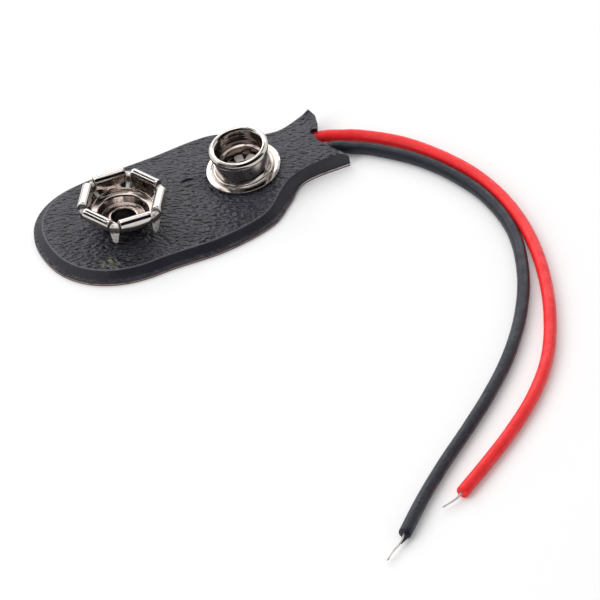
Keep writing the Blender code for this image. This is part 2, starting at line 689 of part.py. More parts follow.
def lead_points(route, side):
    """The lead's centreline: along the tail's tunnel, out of its mouth and down onto the surface."""
    inside = side * LEAD_SPACING / 2
    rest = LEAD_RADIUS + LEAD_REST
    places = [(LEAD_START_X, inside, LEAD_INSIDE_Z), (NECK_X, inside, LEAD_INSIDE_Z)]
    for k, (x, y) in enumerate(route):
        share = LEAD_DROP[k] if k < len(LEAD_DROP) else 0
        places.append((x, y, rest + (LEAD_INSIDE_Z - rest) * share))
    return smooth_curve(places, POINT_SPACING)


def make_lead(name, route, side, surface):
    return tube(name, lead_points(route, side), LEAD_DIAMETER, surface)


def make_tip(name, route, side, tip, surface):
    """The bare tinned end of a lead, from its insulation down to the surface."""
    last, before = lead_points(route, side)[-1], lead_points(route, side)[-2]
    way = (last - before) / np.linalg.norm(last - before)
    places = [last + way * FIT]
    for k, (x, y) in enumerate(tip):
        share = (k + 1) / len(tip)
        z = last[2] + (TIP_DIAMETER / 2 + LEAD_REST - last[2]) * share ** 2
        places.append((x, y, z))
    return tube(name, smooth_curve(places, 3 * TIP_DIAMETER), TIP_DIAMETER, surface)


def solder_place(rivet_radius, angle):
    """Where a solder joint sits beside a rivet's back head, in the rivet's own frame."""
    reach = rivet_radius + RIVET_HEAD_REACH + FIT + SOLDER_RADIUS
    return Vector((reach * math.cos(angle), reach * math.sin(angle), rivet_head_z()))


def make_solder(name, place, rivet_radius, angle, surface):
    """A low bead of solder that ties a conductor to the edge of a rivet's back head."""
    bm = bmesh.new()
    bmesh.ops.create_uvsphere(bm, u_segments=12, v_segments=6, radius=SOLDER_RADIUS)
    bmesh.ops.scale(bm, verts=bm.verts, vec=(1, 1, SOLDER_HEIGHT / SOLDER_RADIUS / 2))
    bmesh.ops.translate(bm, verts=bm.verts, vec=solder_place(rivet_radius, angle))
    return place(make_object(name, mesh_from(name, bm), surface))


def make_strand(name, frame_x, frame_z, lean, rivet_radius, angle, middle, side, surface):
    """The bared conductor under the board, from the lead's inner end to its solder joint."""
    about = Matrix.Translation((frame_x, 0, frame_z)) @ Matrix.Rotation(-lean, 4, "Y")
    joint = about @ solder_place(rivet_radius, angle)
    away = Vector((math.cos(angle), math.sin(angle), 0))
    end = joint + away * (SOLDER_RADIUS + FIT)
    start = Vector((LEAD_START_X - FIT, side * LEAD_SPACING / 2, LEAD_INSIDE_Z))
    places = [tuple(start), *middle, tuple(end)]
    return tube(name, smooth_curve(places, 4 * STRAND_DIAMETER), STRAND_DIAMETER, surface)


def main():
    clear_scene()
    vinyl = material("black_vinyl", (0.035, 0.036, 0.042), 0.55)
    back = material("back_vinyl", (0.03, 0.03, 0.034), 0.6)
    fibre = material("fibre_board", (0.25, 0.14, 0.07), 0.8)
    nickel = material("nickel", (0.72, 0.7, 0.67), 0.16, 1.0)
    tin = material("tinned_wire", (0.7, 0.69, 0.66), 0.3, 1.0)
    red = material("red_insulation", (0.72, 0.03, 0.03), 0.35)
    black = material("black_insulation", (0.02, 0.02, 0.024), 0.4)

    make_top_cover(vinyl)
    make_back_cover(back)
    make_board(fibre)
    make_socket_crown(nickel)
    make_socket_rivet(nickel)
    make_stud_cup(nickel)
    make_stud_rivet(nickel)

    strand_z = BACK_SHEET + 3 * FIT + STRAND_DIAMETER / 2
    stations = ((SLOPE_X + STUD_X) / 2, STUD_X, (CLIP_X + STUD_X) / 2)
    red_middle = [(x, y, strand_z) for x, y in zip(stations, STRAND_SWING)]
    make_solder("socket_solder", at_clip, SOCKET_RIVET_RADIUS, SOCKET_JOINT, tin)
    make_solder("stud_solder", at_stud, STUD_RIVET_RADIUS, STUD_JOINT, tin)
    make_strand("red_strand", CLIP_X, BODY_HEIGHT, 0.0, SOCKET_RIVET_RADIUS, SOCKET_JOINT,
                red_middle, 1, tin)
    make_strand("black_strand", STUD_X, BODY_HEIGHT + rise(STUD_X), LEAN, STUD_RIVET_RADIUS,
                STUD_JOINT, [], -1, tin)

    make_lead("red_lead", RED_ROUTE, 1, red)
    make_lead("black_lead", BLACK_ROUTE, -1, black)
    make_tip("red_tip", RED_ROUTE, 1, RED_TIP, tin)
    make_tip("black_tip", BLACK_ROUTE, -1, BLACK_TIP, tin)


main()
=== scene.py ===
"""The looks of a battery snap connector: a grained vinyl cover with a socket clip and a stud, both in
bright nickel, and two free insulated leads with bare tinned ends.

Lengths are in metres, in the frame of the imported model. The sizes below are the ones that the solids
were made with, so each piece here stands where its solid does.
"""

import math

import bmesh
import bpy
import numpy as np
from bpy.props import FloatProperty, FloatVectorProperty, IntProperty, PointerProperty
from mathutils import Matrix, Vector, noise


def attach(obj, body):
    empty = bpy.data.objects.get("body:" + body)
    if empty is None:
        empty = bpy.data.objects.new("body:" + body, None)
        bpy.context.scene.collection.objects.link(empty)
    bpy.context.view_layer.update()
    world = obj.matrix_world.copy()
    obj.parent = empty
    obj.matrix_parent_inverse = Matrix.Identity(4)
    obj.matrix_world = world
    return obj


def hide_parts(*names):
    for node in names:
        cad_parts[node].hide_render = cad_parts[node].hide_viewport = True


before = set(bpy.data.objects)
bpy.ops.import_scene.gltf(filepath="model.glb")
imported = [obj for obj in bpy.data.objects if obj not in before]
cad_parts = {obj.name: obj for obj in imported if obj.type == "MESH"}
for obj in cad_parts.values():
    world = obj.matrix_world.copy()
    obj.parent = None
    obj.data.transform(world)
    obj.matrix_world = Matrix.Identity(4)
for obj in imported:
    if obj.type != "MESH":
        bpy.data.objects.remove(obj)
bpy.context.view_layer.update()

bl_info = {
    "name": "Battery snap connector",
    "version": (1, 0, 0),
    "blender": (4, 5, 0),
    "location": "3D View > Sidebar > Snap",
    "description": "Builds the cover, the snaps, the leads and the stage of a battery snap connector",
    "category": "Object",
}

MM = 0.001
FIT = 0.00003

# How fine the meshes are, and how their edges are eased
SHARP_DEG = 38
BEND_STEP_DEG = 12
LONGEST_BEND = 0.45
LOBE_STEPS = 34
SPAN_STEPS = 14
TAIL_STEPS = 40
EDGE_EASE = 0.14
EDGE_KEPT = 0.6
BEVEL_SHARE = 0.2
BEVEL_FROM_DEG = 55

# Bends of the drawn sheets
BEND = 0.0002
SMALL_BEND = 0.00012
SHARP_BEND = 0.00005

# Snaps and cover along X
SNAP_PITCH = 0.0127
CLIP_TO_COVER_END = 0.0083
STUD_TO_TAIL_END = 0.0096
COVER_LENGTH = CLIP_TO_COVER_END + SNAP_PITCH + STUD_TO_TAIL_END
TAIL_END_X = COVER_LENGTH / 2
CLIP_X = CLIP_TO_COVER_END - COVER_LENGTH / 2
STUD_X = CLIP_X + SNAP_PITCH
SHOULDER_X = STUD_X - 0.00105
SLOPE_X = STUD_X + 0.00195
NECK_X = STUD_X + 0.00475
BOARD_END_X = STUD_X + 0.00275
LEAD_START_X = STUD_X + 0.00325

# Layers of the cover
BACK_SHEET = 0.00025
BOARD_BOTTOM = BACK_SHEET + 0.00032
BOARD = 0.0004
TOP_SHEET = 0.00045
BODY_HEIGHT = BOARD_BOTTOM + BOARD + FIT + TOP_SHEET
BOARD_UNDER_TOP = TOP_SHEET + FIT + BOARD

# Outline of the cover: half widths of the far and the near side at six stations
FAR_WIDTHS = (0.00785, 0.0076, 0.0075, 0.006, 0.0031, 0.0042)
NEAR_WIDTHS = (0.00735, 0.00785, 0.0071, 0.0052, 0.0032, 0.0032)
FAR_SQUARENESS = 2.25
NEAR_SQUARENESS = 2.2
LIP_HEIGHT = 0.00018
WALL = 0.0013
STEEPER_X = STUD_X + 0.0021
STEEPER_REACH = 0.0026
TAIL_SLOPE = 0.04
CORNER_REACH = 0.0017
CORNER_DROP = 0.0015
CORNER_FROM_Y = -0.0022
CORNER_FULL_Y = -0.0029
RAMP_EASE = 0.0005
SEAT_FADE = 0.0009
CLIP_RING_RADIUS = 0.0046
CLIP_RING_DEPTH = 0.00004
WAVES = ((330, 0.00004), (900, 0.000012))
WAVES_FROM_EDGE = 0.001
EASED_EDGE = 0.00004
BACK_EDGE = ((0.00006, 0.0), (0.0, 0.00005), (0.0, BACK_SHEET - 0.00003), (0.00003, BACK_SHEET))
PILLOW_FALL = 0.00013
PILLOW_REACH = 0.0035
FLICK_HEIGHT = 0.00028
FLICK_FROM = (TAIL_END_X - 0.0015, 0.0034)
FLICK_REACH = (0.0011, 0.0008)
WALL_SHAPE = ((0.0, 0.0), (0.00014, 0.04), (0.0003, 0.13), (0.00058, 0.52), (0.00078, 0.83),
              (0.00092, 0.945), (0.00108, 0.98), (0.0014, 0.996), (0.0019, 1.0))

# The tail's concave end, as (distance before the tail's end, y), its notch and the leads' tunnel
END_CUT = ((0.0, -0.0034), (0.00025, -0.0031), (0.00085, -0.00265), (0.00128, -0.0021), (0.00157, -0.0013),
           (0.00185, -0.0006), (0.0019, 0.0002), (0.0013, 0.0009), (0.00085, 0.0016), (0.0006, 0.0023),
           (0.00038, 0.003), (0.00045, 0.0037), (0.0008, 0.0045))
NOTCH_RADIUS = 0.00043
NOTCH_X = TAIL_END_X - 0.00157
NOTCH_Y = 0.00086
TUNNEL_SIDE_ROOM = 0.00028
TUNNEL_TOP_ROOM = 0.00015
MOUTH_WIDTH = 0.0049

# Socket clip: the cup, its petals and its corner tabs
CUP_SHEET = 0.00026
PETAL_SHEET = 0.00022
CUP_FLOOR_RADIUS = 0.00215
LEDGE_RADIUS = 0.00245
LEDGE_HEIGHT = 0.00085
LEDGE_SLOPE = 0.0001
CUP_RADIUS = 0.003
CUP_HEIGHT = 0.0013
PETALS = 6
PETAL_TURN_DEG = 22.5
PETAL_LENGTH = 0.003
PETAL_ROOT_LENGTH = 0.0025
PETAL_WALL_APOTHEM = 0.00311
PETAL_BEND_HEIGHT = 0.0018
ROLL_RADIUS = 0.00036
ROLL_HEIGHT = 0.00247
FLAP_AT_ENDS = 0.0003
FLAP_IN_MIDDLE = 0.00064
FLAP_LEAN = 0.00002
PETAL_COLUMNS = 13
PETAL_ROLL_STEPS = 41
TAB_ROOT_WIDTH = 0.00036
TAB_SHOULDER_WIDTH = 0.001
TAB_TIP_WIDTH = 0.00046
TAB_RADIUS = 0.00345
TAB_ROLL_RADIUS = 0.00031
TAB_ROLL_HEIGHT = 0.0021
TAB_TIP_HEIGHT = 0.00038
TAB_TIP_INSET = 0.00013
TAB_TIP_TURN_DEG = 70
TAB_WIDTH_SCALES = (0.9, 0.95, 0.5, 0.95, 1.1, 0.85)
TAB_REACHES = (1, 0.96, 0.4, 0.93, 0.97, 1)
TAB_CRUMPLES = (0.00003, 0.00006)
TAB_CRUMPLE_RATES = (1.3, 3.0, 5.0)
TAB_COLUMNS = 9
TAB_ROLL_STEPS = 13
TAB_STEPS = 12

# Stud
STUD_SHEET = 0.00018
LEAN = math.radians(8)
FLANGE_RADIUS = 0.00348
FLANGE_LIFT = 0.00014
FLANGE_RING = 0.00042
RING_FALL = 0.00002
SHEARED_IN = 0.00003
SHEARED_UP = 0.00002
SHEARED_RATE = 2.2
SHEARED_UP_RATE = 1.7
BORE_RIDGE = 0.000012
BORE_RIDGE_PITCH = 0.00042
COLLAR_RADIUS = 0.00274
COLLAR_HEIGHT = 0.00034
COLLAR_STEP = 0.00012
NECK_RADIUS = 0.00254
RIM_RADIUS = 0.00271
RIM_DEPTH = 0.00068
STUD_HEIGHT = 0.003
BORE_RADIUS = 0.00227
BORE_STEP_RADIUS = 0.00195
BORE_STEP_HEIGHT = 0.0011
RAMP_FROM = STUD_X - 0.0014
RAMP_TO = STUD_X + 0.0023

# Rivets
RIVET_SHEET = 0.00015
SOCKET_RIVET_RADIUS = 0.00117
STUD_RIVET_RADIUS = 0.001
RIVET_HEAD_REACH = 0.00058
RIVET_CURL_REACH = 0.00019
STAR_REACH = 0.00062
STAR_LIFT = 0.0001
STAR_PRONGS = 7
STAR_TURN = 0.56
STAR_SEED = 31
PRONG_COLUMNS = 7
PRONG_STEPS = 9
PRONG_SHEET = 0.8 * RIVET_SHEET
PRONG_NARROWING = 0.45
PRONG_DROOP = 0.00004
PRONG_LIFTS = (0.5, 1.15)
PRONG_REACHES = (0.82, 1.0)
PRONG_WIDTHS = (0.78, 0.9)

# Leads
LEAD_DIAMETER = 0.0012
LEAD_RADIUS = LEAD_DIAMETER / 2
LEAD_SPACING = 0.00156
LEAD_REST = 0.00002
LEAD_INSIDE_Z = BACK_SHEET + FIT + LEAD_RADIUS
LEAD_DROP = (1.0, 1.0, 0.45, 0.1)
TIP_DIAMETER = 0.0003
TIP_FALL = 0.00012
SLIVER = ((-0.3, 0.26), (0.0, 0.24), (0.6, 0.17), (1.25, 0.09))
SLIVER_RADII = (0.0003, 0.00006)
SLIVER_DROP = 0.3
STRAND_PITCH = 0.0055
STRAND_RADIUS = 0.17 * TIP_DIAMETER
STRAND_TAPER = 0.35
BEAD_SHARES = (0.15, 0.32, 0.4, 0.35, 0.15)
TIP_INSIDE = 0.0002
STRAND_SIDES = 8
BEAD_SIDES = 12
SLIVER_SIDES = 10
LEAD_WAVER = 0.012
LEAD_WAVER_RATE = 400
LEAD_STEP = 0.0007
TIP_STEP = 0.00012
SLIVER_STEP = 0.00008
END_CUT_SHARES = ((0.00012, 0.985), (0.00005, 0.96), (0.00001, 0.9), (0.0, 0.8))

# The leads' routes and bare ends, as (x, y)
RED_ROUTE = ((0.0134, 0.0011), (0.0148, 0.0009), (0.0162, 0.00025), (0.0178, -0.0007), (0.0205, -0.0036),
             (0.0225, -0.0073), (0.0239, -0.0116), (0.0243, -0.0166), (0.0236, -0.022),
             (0.0219, -0.0274), (0.0195, -0.0325), (0.0164, -0.0373), (0.0127, -0.0411),
             (0.0087, -0.0441), (0.0047, -0.0466), (0.0009, -0.0488))
RED_TIP = ((0.0, -0.0492), (-0.0014, -0.0494))
BLACK_ROUTE = ((0.0134, -0.0009), (0.0148, -0.001), (0.0162, -0.0019), (0.0177, -0.003), (0.0204, -0.0065),
               (0.0222, -0.0106), (0.0231, -0.0153), (0.0226, -0.0207), (0.0204, -0.0262),
               (0.0173, -0.031), (0.0136, -0.0352), (0.0096, -0.0387), (0.0056, -0.0417),
               (0.0015, -0.0446), (-0.0024, -0.0476), (-0.006, -0.0507))
BLACK_TIP = ((-0.0069, -0.0515), (-0.008, -0.0521), (-0.0089, -0.0527))

# Finishes
NICKEL_ROUGHNESS = 0.14
SCRAPED_ROUGHNESS = 0.36
TIN_ROUGHNESS = 0.42
BACK_ROUGHNESS = 0.5
RED_ROUGHNESS = 0.36
BLACK_ROUGHNESS = 0.38
# Painted highlight: the pale line along the cover's shoulder
SHOULDER_HIGHLIGHT = (0.085, 0.089, 0.108)
# Painted shade: the near black in the nick's hollow
NICK_SHADE = (0.004, 0.004, 0.006)
SCUFF_GREY = (0.24, 0.24, 0.17)
# Brown of the tabs' random specks, and also painted shade under their folds and on one tab
SPECK_AND_SHADE_BROWN = (0.06, 0.042, 0.036)
COPPERY = (0.55, 0.42, 0.33)

# Patches on the surfaces, as (centre, reach, the share of the reach that is full)
NICK = ((0.54 * MM, 1.53 * MM, BODY_HEIGHT), (0.8 * MM, 0.45 * MM, 1 * MM), 0.3)
SCRATCH = ((0.8 * MM, 0.4 * MM, BODY_HEIGHT), (0.5 * MM, 1.5 * MM, 1 * MM), 0.0)
SCUFF = ((-11 * MM, -4.7 * MM, BODY_HEIGHT), (1.4 * MM, 1.3 * MM, 1 * MM), 0.2)
SHADED_TAB = ((CLIP_X - 3.5 * MM, 0.45 * MM, BODY_HEIGHT + 0.9 * MM), (1.2 * MM, 1.2 * MM, 2.4 * MM), 0.6)
# Where painted shade and brown reflection fill the clip's cup
INSIDE_CLIP = ((CLIP_X, 0, BODY_HEIGHT + 0.6 * MM), (4.2 * MM, 4.2 * MM, 2.6 * MM), 0.6)

# The same in the stud's own frame
# Where painted shade and brown reflection fill the stud's bore and lie on the star on its floor
STUD_BORE = ((0, 0, 1.1 * MM), (3.1 * MM, 3.1 * MM, 2.6 * MM), 0.7)
STUD_FLOOR = ((0, 0, 0.5 * MM), (2.4 * MM, 2.4 * MM, 1 * MM), 0.8)

# The camera, solved from the two snaps: angles in degrees, and where the clip's centre shows
CAMERA_AZIMUTH = -24.017
CAMERA_ELEVATION = 39.712
CAMERA_ROLL = -6.007
CAMERA_DISTANCE = 0.64
CAMERA_LENS = 415.4
SENSOR = 36.0
CLIPPING = (0.01, 10)
CLIP_IN_FRAME = (0.20637, 0.36523)

# The stage: lights as (size, place), and cloths as (colour, distance, middle, half turn, low, high)
FLOOR_REACH = 1.2
FLOOR_GLOW = 0.12
CLOTH_GRID = (9, 25)
LIGHTS = {"top": ((0.8, 0.7), (-0.2, 0.2, 0.55)), "side": ((0.2, 0.3), (-0.45, -0.1, 0.3)),
          "far": ((0.9, 0.23), (0.2, 0.449, 0.344))}
CLOTHS = {"dark_cloth": ((0.006, 0.0068, 0.0095), 0.45, CAMERA_AZIMUTH - 90, 92, 4, 71),
          "grey_cloth": ((0.05, 0.05, 0.052), 0.35, CAMERA_AZIMUTH + 90, 75, 48, 62)}

ROOT = "root"


# Sizes and colours that a user would change


class CoverLook(bpy.types.PropertyGroup):
    """How the vinyl cover looks."""

    vinyl_colour: FloatVectorProperty(
        name="Vinyl", description="Colour of the grained vinyl", subtype="COLOR", size=3,
        min=0.0, max=1.0, default=(0.0185, 0.0183, 0.0285))
    cut_colour: FloatVectorProperty(
        name="Cut edge", description="Colour of the pale core that shows along the cut edge",
        subtype="COLOR", size=3, min=0.0, max=1.0, default=(0.72, 0.62, 0.58))
    grain_size: FloatProperty(
        name="Grain size", description="Width of one pebble of the leather grain", min=0.0001,
        max=0.003, default=0.0005, unit="LENGTH", precision=6)
    grain_depth: FloatProperty(
        name="Grain depth", description="Depth of the creases between the pebbles", min=0.0,
        max=0.0005, default=0.00038, unit="LENGTH", precision=6)
    columns: IntProperty(
        name="Columns", description="Strips of mesh across the flat top", min=4, max=120, default=36)


class MetalLook(bpy.types.PropertyGroup):
    """How the nickel snaps and the tinned wire look."""

    nickel_colour: FloatVectorProperty(
        name="Nickel", description="Colour of the nickel plate", subtype="COLOR", size=3, min=0.0,
        max=1.0, default=(0.67, 0.63, 0.605))
    # The colour of the painted shade and brown reflection inside the snaps
    tarnish_colour: FloatVectorProperty(
        name="Tarnish", description="Colour of the brown tarnish inside the snaps", subtype="COLOR",
        size=3, min=0.0, max=1.0, default=(0.36, 0.29, 0.26))
    tin_colour: FloatVectorProperty(
        name="Tin", description="Colour of the tinned strands", subtype="COLOR", size=3, min=0.0,
        max=1.0, default=(0.7, 0.655, 0.645))
    round_steps: IntProperty(
        name="Round steps", description="Flats in one turn of a drawn part", min=16, max=256,
        default=96)
    wobble: FloatProperty(
        name="Wobble", description="Depth of the shallow waves that stamping leaves in the sheet",
        min=0.0, max=0.0002, default=0.000003, unit="LENGTH", precision=7)


class LeadLook(bpy.types.PropertyGroup):
    """How the two leads look."""

    red_colour: FloatVectorProperty(
        name="Red", description="Colour of the red insulation", subtype="COLOR", size=3, min=0.0,
        max=1.0, default=(1.0, 0.02, 0.025))
    black_colour: FloatVectorProperty(
        name="Black", description="Colour of the black insulation", subtype="COLOR", size=3,
        min=0.0, max=1.0, default=(0.013, 0.0145, 0.026))
    sides: IntProperty(
        name="Sides", description="Flats round a lead", min=8, max=64, default=24)
    strands: IntProperty(
        name="Strands", description="Fine wires in each bare tip", min=3, max=19, default=5)


class StageLook(bpy.types.PropertyGroup):
    """How the floor and the lights look."""

    floor_colour: FloatVectorProperty(
        name="Floor", description="Colour of the floor", subtype="COLOR", size=3, min=0.0, max=1.0,
        default=(0.9, 0.9, 0.9))
    top_power: FloatProperty(
        name="Top light", description="Power of the large light above and behind", min=0.0,
        max=50.0, default=2.25, unit="POWER")
    side_power: FloatProperty(
        name="Side light", description="Power of the light at the left", min=0.0, max=50.0,
        default=0.7, unit="POWER")
    far_power: FloatProperty(
        name="Far light", description="Power of the wide, low light at the far side", min=0.0,
        max=50.0, default=1.05, unit="POWER")
    sky_level: FloatProperty(
        name="Sky", description="Level of the even light from all round", subtype="FACTOR", min=0.0,
        max=1.0, default=0.42)


# Curves and sections


def unit(vectors):
    """The vectors, one or a row of each, at a length of 1."""
    return vectors / np.linalg.norm(vectors, axis=-1, keepdims=True)


def turned(x, y, angle):
    """The point (x, y) turned about the origin."""
    return x * math.cos(angle) - y * math.sin(angle), x * math.sin(angle) + y * math.cos(angle)


def through(knots, steps, before_first=None):
    """A smooth curve through the knots, with this many steps in each span."""
    first = 2 * knots[0] - knots[1] if before_first is None else before_first
    ends = np.vstack([first, knots, 2 * knots[-1] - knots[-2]])
    fine = []
    for before, start, stop, after in zip(ends, ends[1:], ends[2:], ends[3:]):
        for share in np.linspace(0, 1, steps, endpoint=False):
            fine.append(0.5 * (2 * start + (stop - before) * share
                               + (2 * before - 5 * start + 4 * stop - after) * share ** 2
                               + (3 * start - before - 3 * stop + after) * share ** 3))
    fine.append(knots[-1])
    return np.array(fine)


def evenly(points, spacing):
    """Points about this far apart on a smooth curve through the given ones."""
    fine = through(np.array(points, float), 16)
    along = np.concatenate([[0], np.cumsum(np.linalg.norm(np.diff(fine, axis=0), axis=1))])
    stops = np.linspace(0, along[-1], max(2, round(along[-1] / spacing)) + 1)
    return np.stack([np.interp(stops, along, fine[:, k]) for k in range(fine.shape[1])], axis=1)


def curve_length(points):
    """The length of a path of straight pieces."""
    return float(np.linalg.norm(np.diff(points, axis=0), axis=1).sum())


def rounded_path(corners):
    """The points of a path through (x, y, bend radius) corners."""
    spots = [np.array(corner[:2], float) for corner in corners]
    points = [spots[0]]
    for before, here, after, (x, y, bend) in zip(spots, spots[1:], spots[2:], corners[1:]):
        back, ahead = unit(before - here), unit(after - here)
        shorter = min(np.linalg.norm(before - here), np.linalg.norm(after - here))
        turn = math.acos(np.clip(-back @ ahead, -1, 1))
        radius = min(bend, LONGEST_BEND * shorter / math.tan(turn / 2))
        centre = here + unit(back + ahead) * radius / math.cos(turn / 2)
        start = here + back * radius * math.tan(turn / 2) - centre
        steps = max(1, round(turn / math.radians(BEND_STEP_DEG)))
        way = math.copysign(turn, start[1] * back[0] - start[0] * back[1])
        for angle in way * np.arange(steps + 1) / steps:
            points.append(centre + turned(*start, angle))
    return np.array([*points, spots[-1]])


def path_normals(points):
    """The left-hand normal at each point of an open path, mitred so that an offset keeps its width."""
    ways = unit(np.diff(points, axis=0))
    sides = np.stack([-ways[:, 1], ways[:, 0]], axis=1)
    before = np.vstack([sides[:1], sides])
    after = np.vstack([sides, sides[-1:]])
    return (before + after) / (1 + (before * after).sum(axis=1))[:, None]


def sheet_section(corners, thickness):
    """The closed outline of a sheet bent along the corners, with its two cut edges eased."""
    path = rounded_path(corners)
    offsets = path_normals(path) * thickness / 2
    eased_ends = []
    for end, inner, signs in ((0, 1, (-1, 1)), (-1, -2, (1, -1))):
        out = path[end] + unit(path[end] - path[inner]) * thickness * EDGE_EASE
        eased_ends.append([out + sign * offsets[end] * EDGE_KEPT for sign in signs])
    return np.vstack([eased_ends[0], path + offsets, eased_ends[1], (path - offsets)[::-1]])


# Meshes


def placed(name, data):
    """A new object of this mesh, lamp or camera in the scene."""
    made = bpy.data.objects.new(name, data)
    bpy.context.scene.collection.objects.link(made)
    return made


def soften(mesh):
    """Shades the mesh smooth apart from its sharp edges."""
    mesh.shade_smooth()
    mesh.set_sharp_from_angle(angle=math.radians(SHARP_DEG))


def quads(rows, columns, first=0, close_rows=False, close_columns=False):
    """The faces of a grid of points, given row by row, that may close on itself either way."""
    faces = []
    for row in range(rows - (not close_rows)):
        here, below = first + row * columns, first + (row + 1) % rows * columns
        for k in range(columns - (not close_columns)):
            after = (k + 1) % columns
            faces.append((here + k, here + after, below + after, below + k))
    return faces


def piece(name, verts, faces, finish):
    """An object of the given closed mesh, with its faces out."""
    mesh = bpy.data.meshes.new(name)
    mesh.from_pydata([tuple(v) for v in verts], [], [tuple(f) for f in faces])
    bm = bmesh.new()
    bm.from_mesh(mesh)
    bmesh.ops.recalc_face_normals(bm, faces=bm.faces)
    if bm.calc_volume(signed=True) < 0:
        bmesh.ops.reverse_faces(bm, faces=bm.faces)
    bm.to_mesh(mesh)
    bm.free()
    soften(mesh)
    if finish:
        mesh.materials.append(finish)
    return placed(name, mesh)


def settled(item):
    """Applies the object's modifiers."""
    graph = bpy.context.evaluated_depsgraph_get()
    mesh = bpy.data.meshes.new_from_object(item.evaluated_get(graph))
    item.modifiers.clear()
    item.data = mesh
    soften(mesh)
    return item


def cut(item, *cutters):
    """Cuts each cutter from the object, and removes the cutters."""
    for cutter in cutters:
        step = item.modifiers.new(cutter.name, "BOOLEAN")
        step.operation = "DIFFERENCE"
        step.solver = "EXACT"
        step.object = cutter
    bpy.context.view_layer.update()
    settled(item)
    for cutter in cutters:
        bpy.data.objects.remove(cutter)


def joined(item, *others):
    """One object out of several whose meshes touch or cross, each with its own finish."""
    bm = bmesh.new()
    finishes = item.data.materials
    for part in (item, *others):
        finish = part.active_material
        if finish.name not in finishes:
            finishes.append(finish)
        for face in part.data.polygons:
            face.material_index = finishes.find(finish.name)
        bm.from_mesh(part.data)
    bm.to_mesh(item.data)
    bm.free()
    for part in others:
        bpy.data.objects.remove(part)
    return item


def revolved(name, corners, thickness, finish, steps, wave=None):
    """A sheet of revolution about Z, bent along (radius, z, bend radius) corners off the axis.

    wave gives how far each point moves out and up, from its radius and its angle.
    """
    section = sheet_section(corners, thickness)
    verts = []
    for turn in range(steps):
        angle = 2 * math.pi * turn / steps
        for radius, z in section:
            out, up = wave(radius, angle) if wave else (0.0, 0.0)
            verts.append((*turned(radius + out, 0, angle), z + up))
    return piece(name, verts, quads(steps, len(section), close_rows=True, close_columns=True), finish)


def prism(name, outline, low, high):
    """A plain prism over a closed outline of (x, y) points, for cutting."""
    count = len(outline)
    verts = [(x, y, z) for z in (low, high) for x, y in outline]
    faces = [range(count), range(count, 2 * count), *quads(2, count, close_columns=True)]
    return piece(name, verts, faces, None)


def drum(name, radius, low, high, place, steps=48):
    """A plain cylinder about Z, put in its place, for cutting."""
    angles = np.linspace(0, 2 * math.pi, steps, endpoint=False)
    made = prism(name, [turned(radius, 0, angle) for angle in angles], low, high)
    made.matrix_world = place
    return made


def swept(name, points, radii, sides, finish):
    """A round tube along the points, with a radius at each and a twist-free ring."""
    ways = unit(np.gradient(points, axis=0))
    side = np.cross(ways[0], (0, 0, 1))
    verts = []
    for place, way, radius in zip(points, ways, radii):
        side = unit(side - way * (side @ way))
        other = np.cross(way, side)
        for k in range(sides):
            angle = 2 * math.pi * k / sides
            verts.append(place + radius * (side * math.cos(angle) + other * math.sin(angle)))
    ends = [range(sides), range(len(verts) - sides, len(verts))]
    return piece(name, verts, quads(len(points), sides, close_columns=True) + ends, finish)


def strips(name, turns, paths_at, thickness, finish):
    """Bent strips of sheet, one at each turn about Z, from columns of (radius, side, z) points."""
    verts, faces = [], []
    for number, turn in enumerate(turns):
        paths = paths_at(number)
        first, around = len(verts), 2 * len(paths[0])
        for path in paths:
            flat = path[:, [0, 2]]
            aside = path_normals(flat) * thickness / 2
            loop = np.vstack([flat + aside, (flat - aside)[::-1]])
            for (reach, z), across in zip(loop, [*path[:, 1], *path[::-1, 1]]):
                verts.append((*turned(reach, across, turn), z))
        faces += quads(len(paths), around, first, close_columns=True)
        for start, stop in ((first, first + around - 1), (len(verts) - around, len(verts) - 1)):
            faces += [(start + k, start + k + 1, stop - k - 1, stop - k) for k in range(around // 2 - 1)]
    made = piece(name, verts, faces, finish)
    ease = made.modifiers.new("eased edges", "BEVEL")
    ease.width = thickness * BEVEL_SHARE
    ease.segments = 2
    ease.limit_method = "ANGLE"
    ease.angle_limit = math.radians(BEVEL_FROM_DEG)
    return settled(made)


# Surfaces: shader nodes


def feed(tree, socket, value):
    """Links a socket to another, or sets its value, or its colour from three numbers."""
    if isinstance(value, bpy.types.NodeSocket):
        tree.links.new(value, socket)
    else:
        socket.default_value = (*value, 1.0) if socket.type == "RGBA" else value


def fed(tree, node, **inputs):
    """The node, with the named inputs fed; an underscore in a name stands for its space."""
    for name, value in inputs.items():
        feed(tree, node.inputs[name.replace("_", " ")], value)
    return node


def add_node(tree, kind, **inputs):
    """A new node of this kind with the named inputs fed."""
    return fed(tree, tree.nodes.new(kind), **inputs)


def calc(tree, operation, *values, kind="ShaderNodeMath"):
    """What a math node makes of the values."""
    made = tree.nodes.new(kind)
    made.operation = operation
    for socket, value in zip(made.inputs, values):
        feed(tree, socket, value)
    return made.outputs[0]


def times(tree, first, second):
    """The product of two values."""
    return calc(tree, "MULTIPLY", first, second)


def ramp_between(tree, value, low, high):
    """The value's smooth climb from 0 at low to 1 at high."""
    made = add_node(tree, "ShaderNodeMapRange", Value=value, From_Min=low, From_Max=high)
    made.interpolation_type = "SMOOTHSTEP"
    return made.outputs["Result"]


def mixed(tree, share, first, second):
    """The first colour, and the second where the share is 1."""
    made = tree.nodes.new("ShaderNodeMix")
    made.data_type = "RGBA"
    for index, value in ((0, share), (6, first), (7, second)):
        feed(tree, made.inputs[index], value)
    return made.outputs[2]


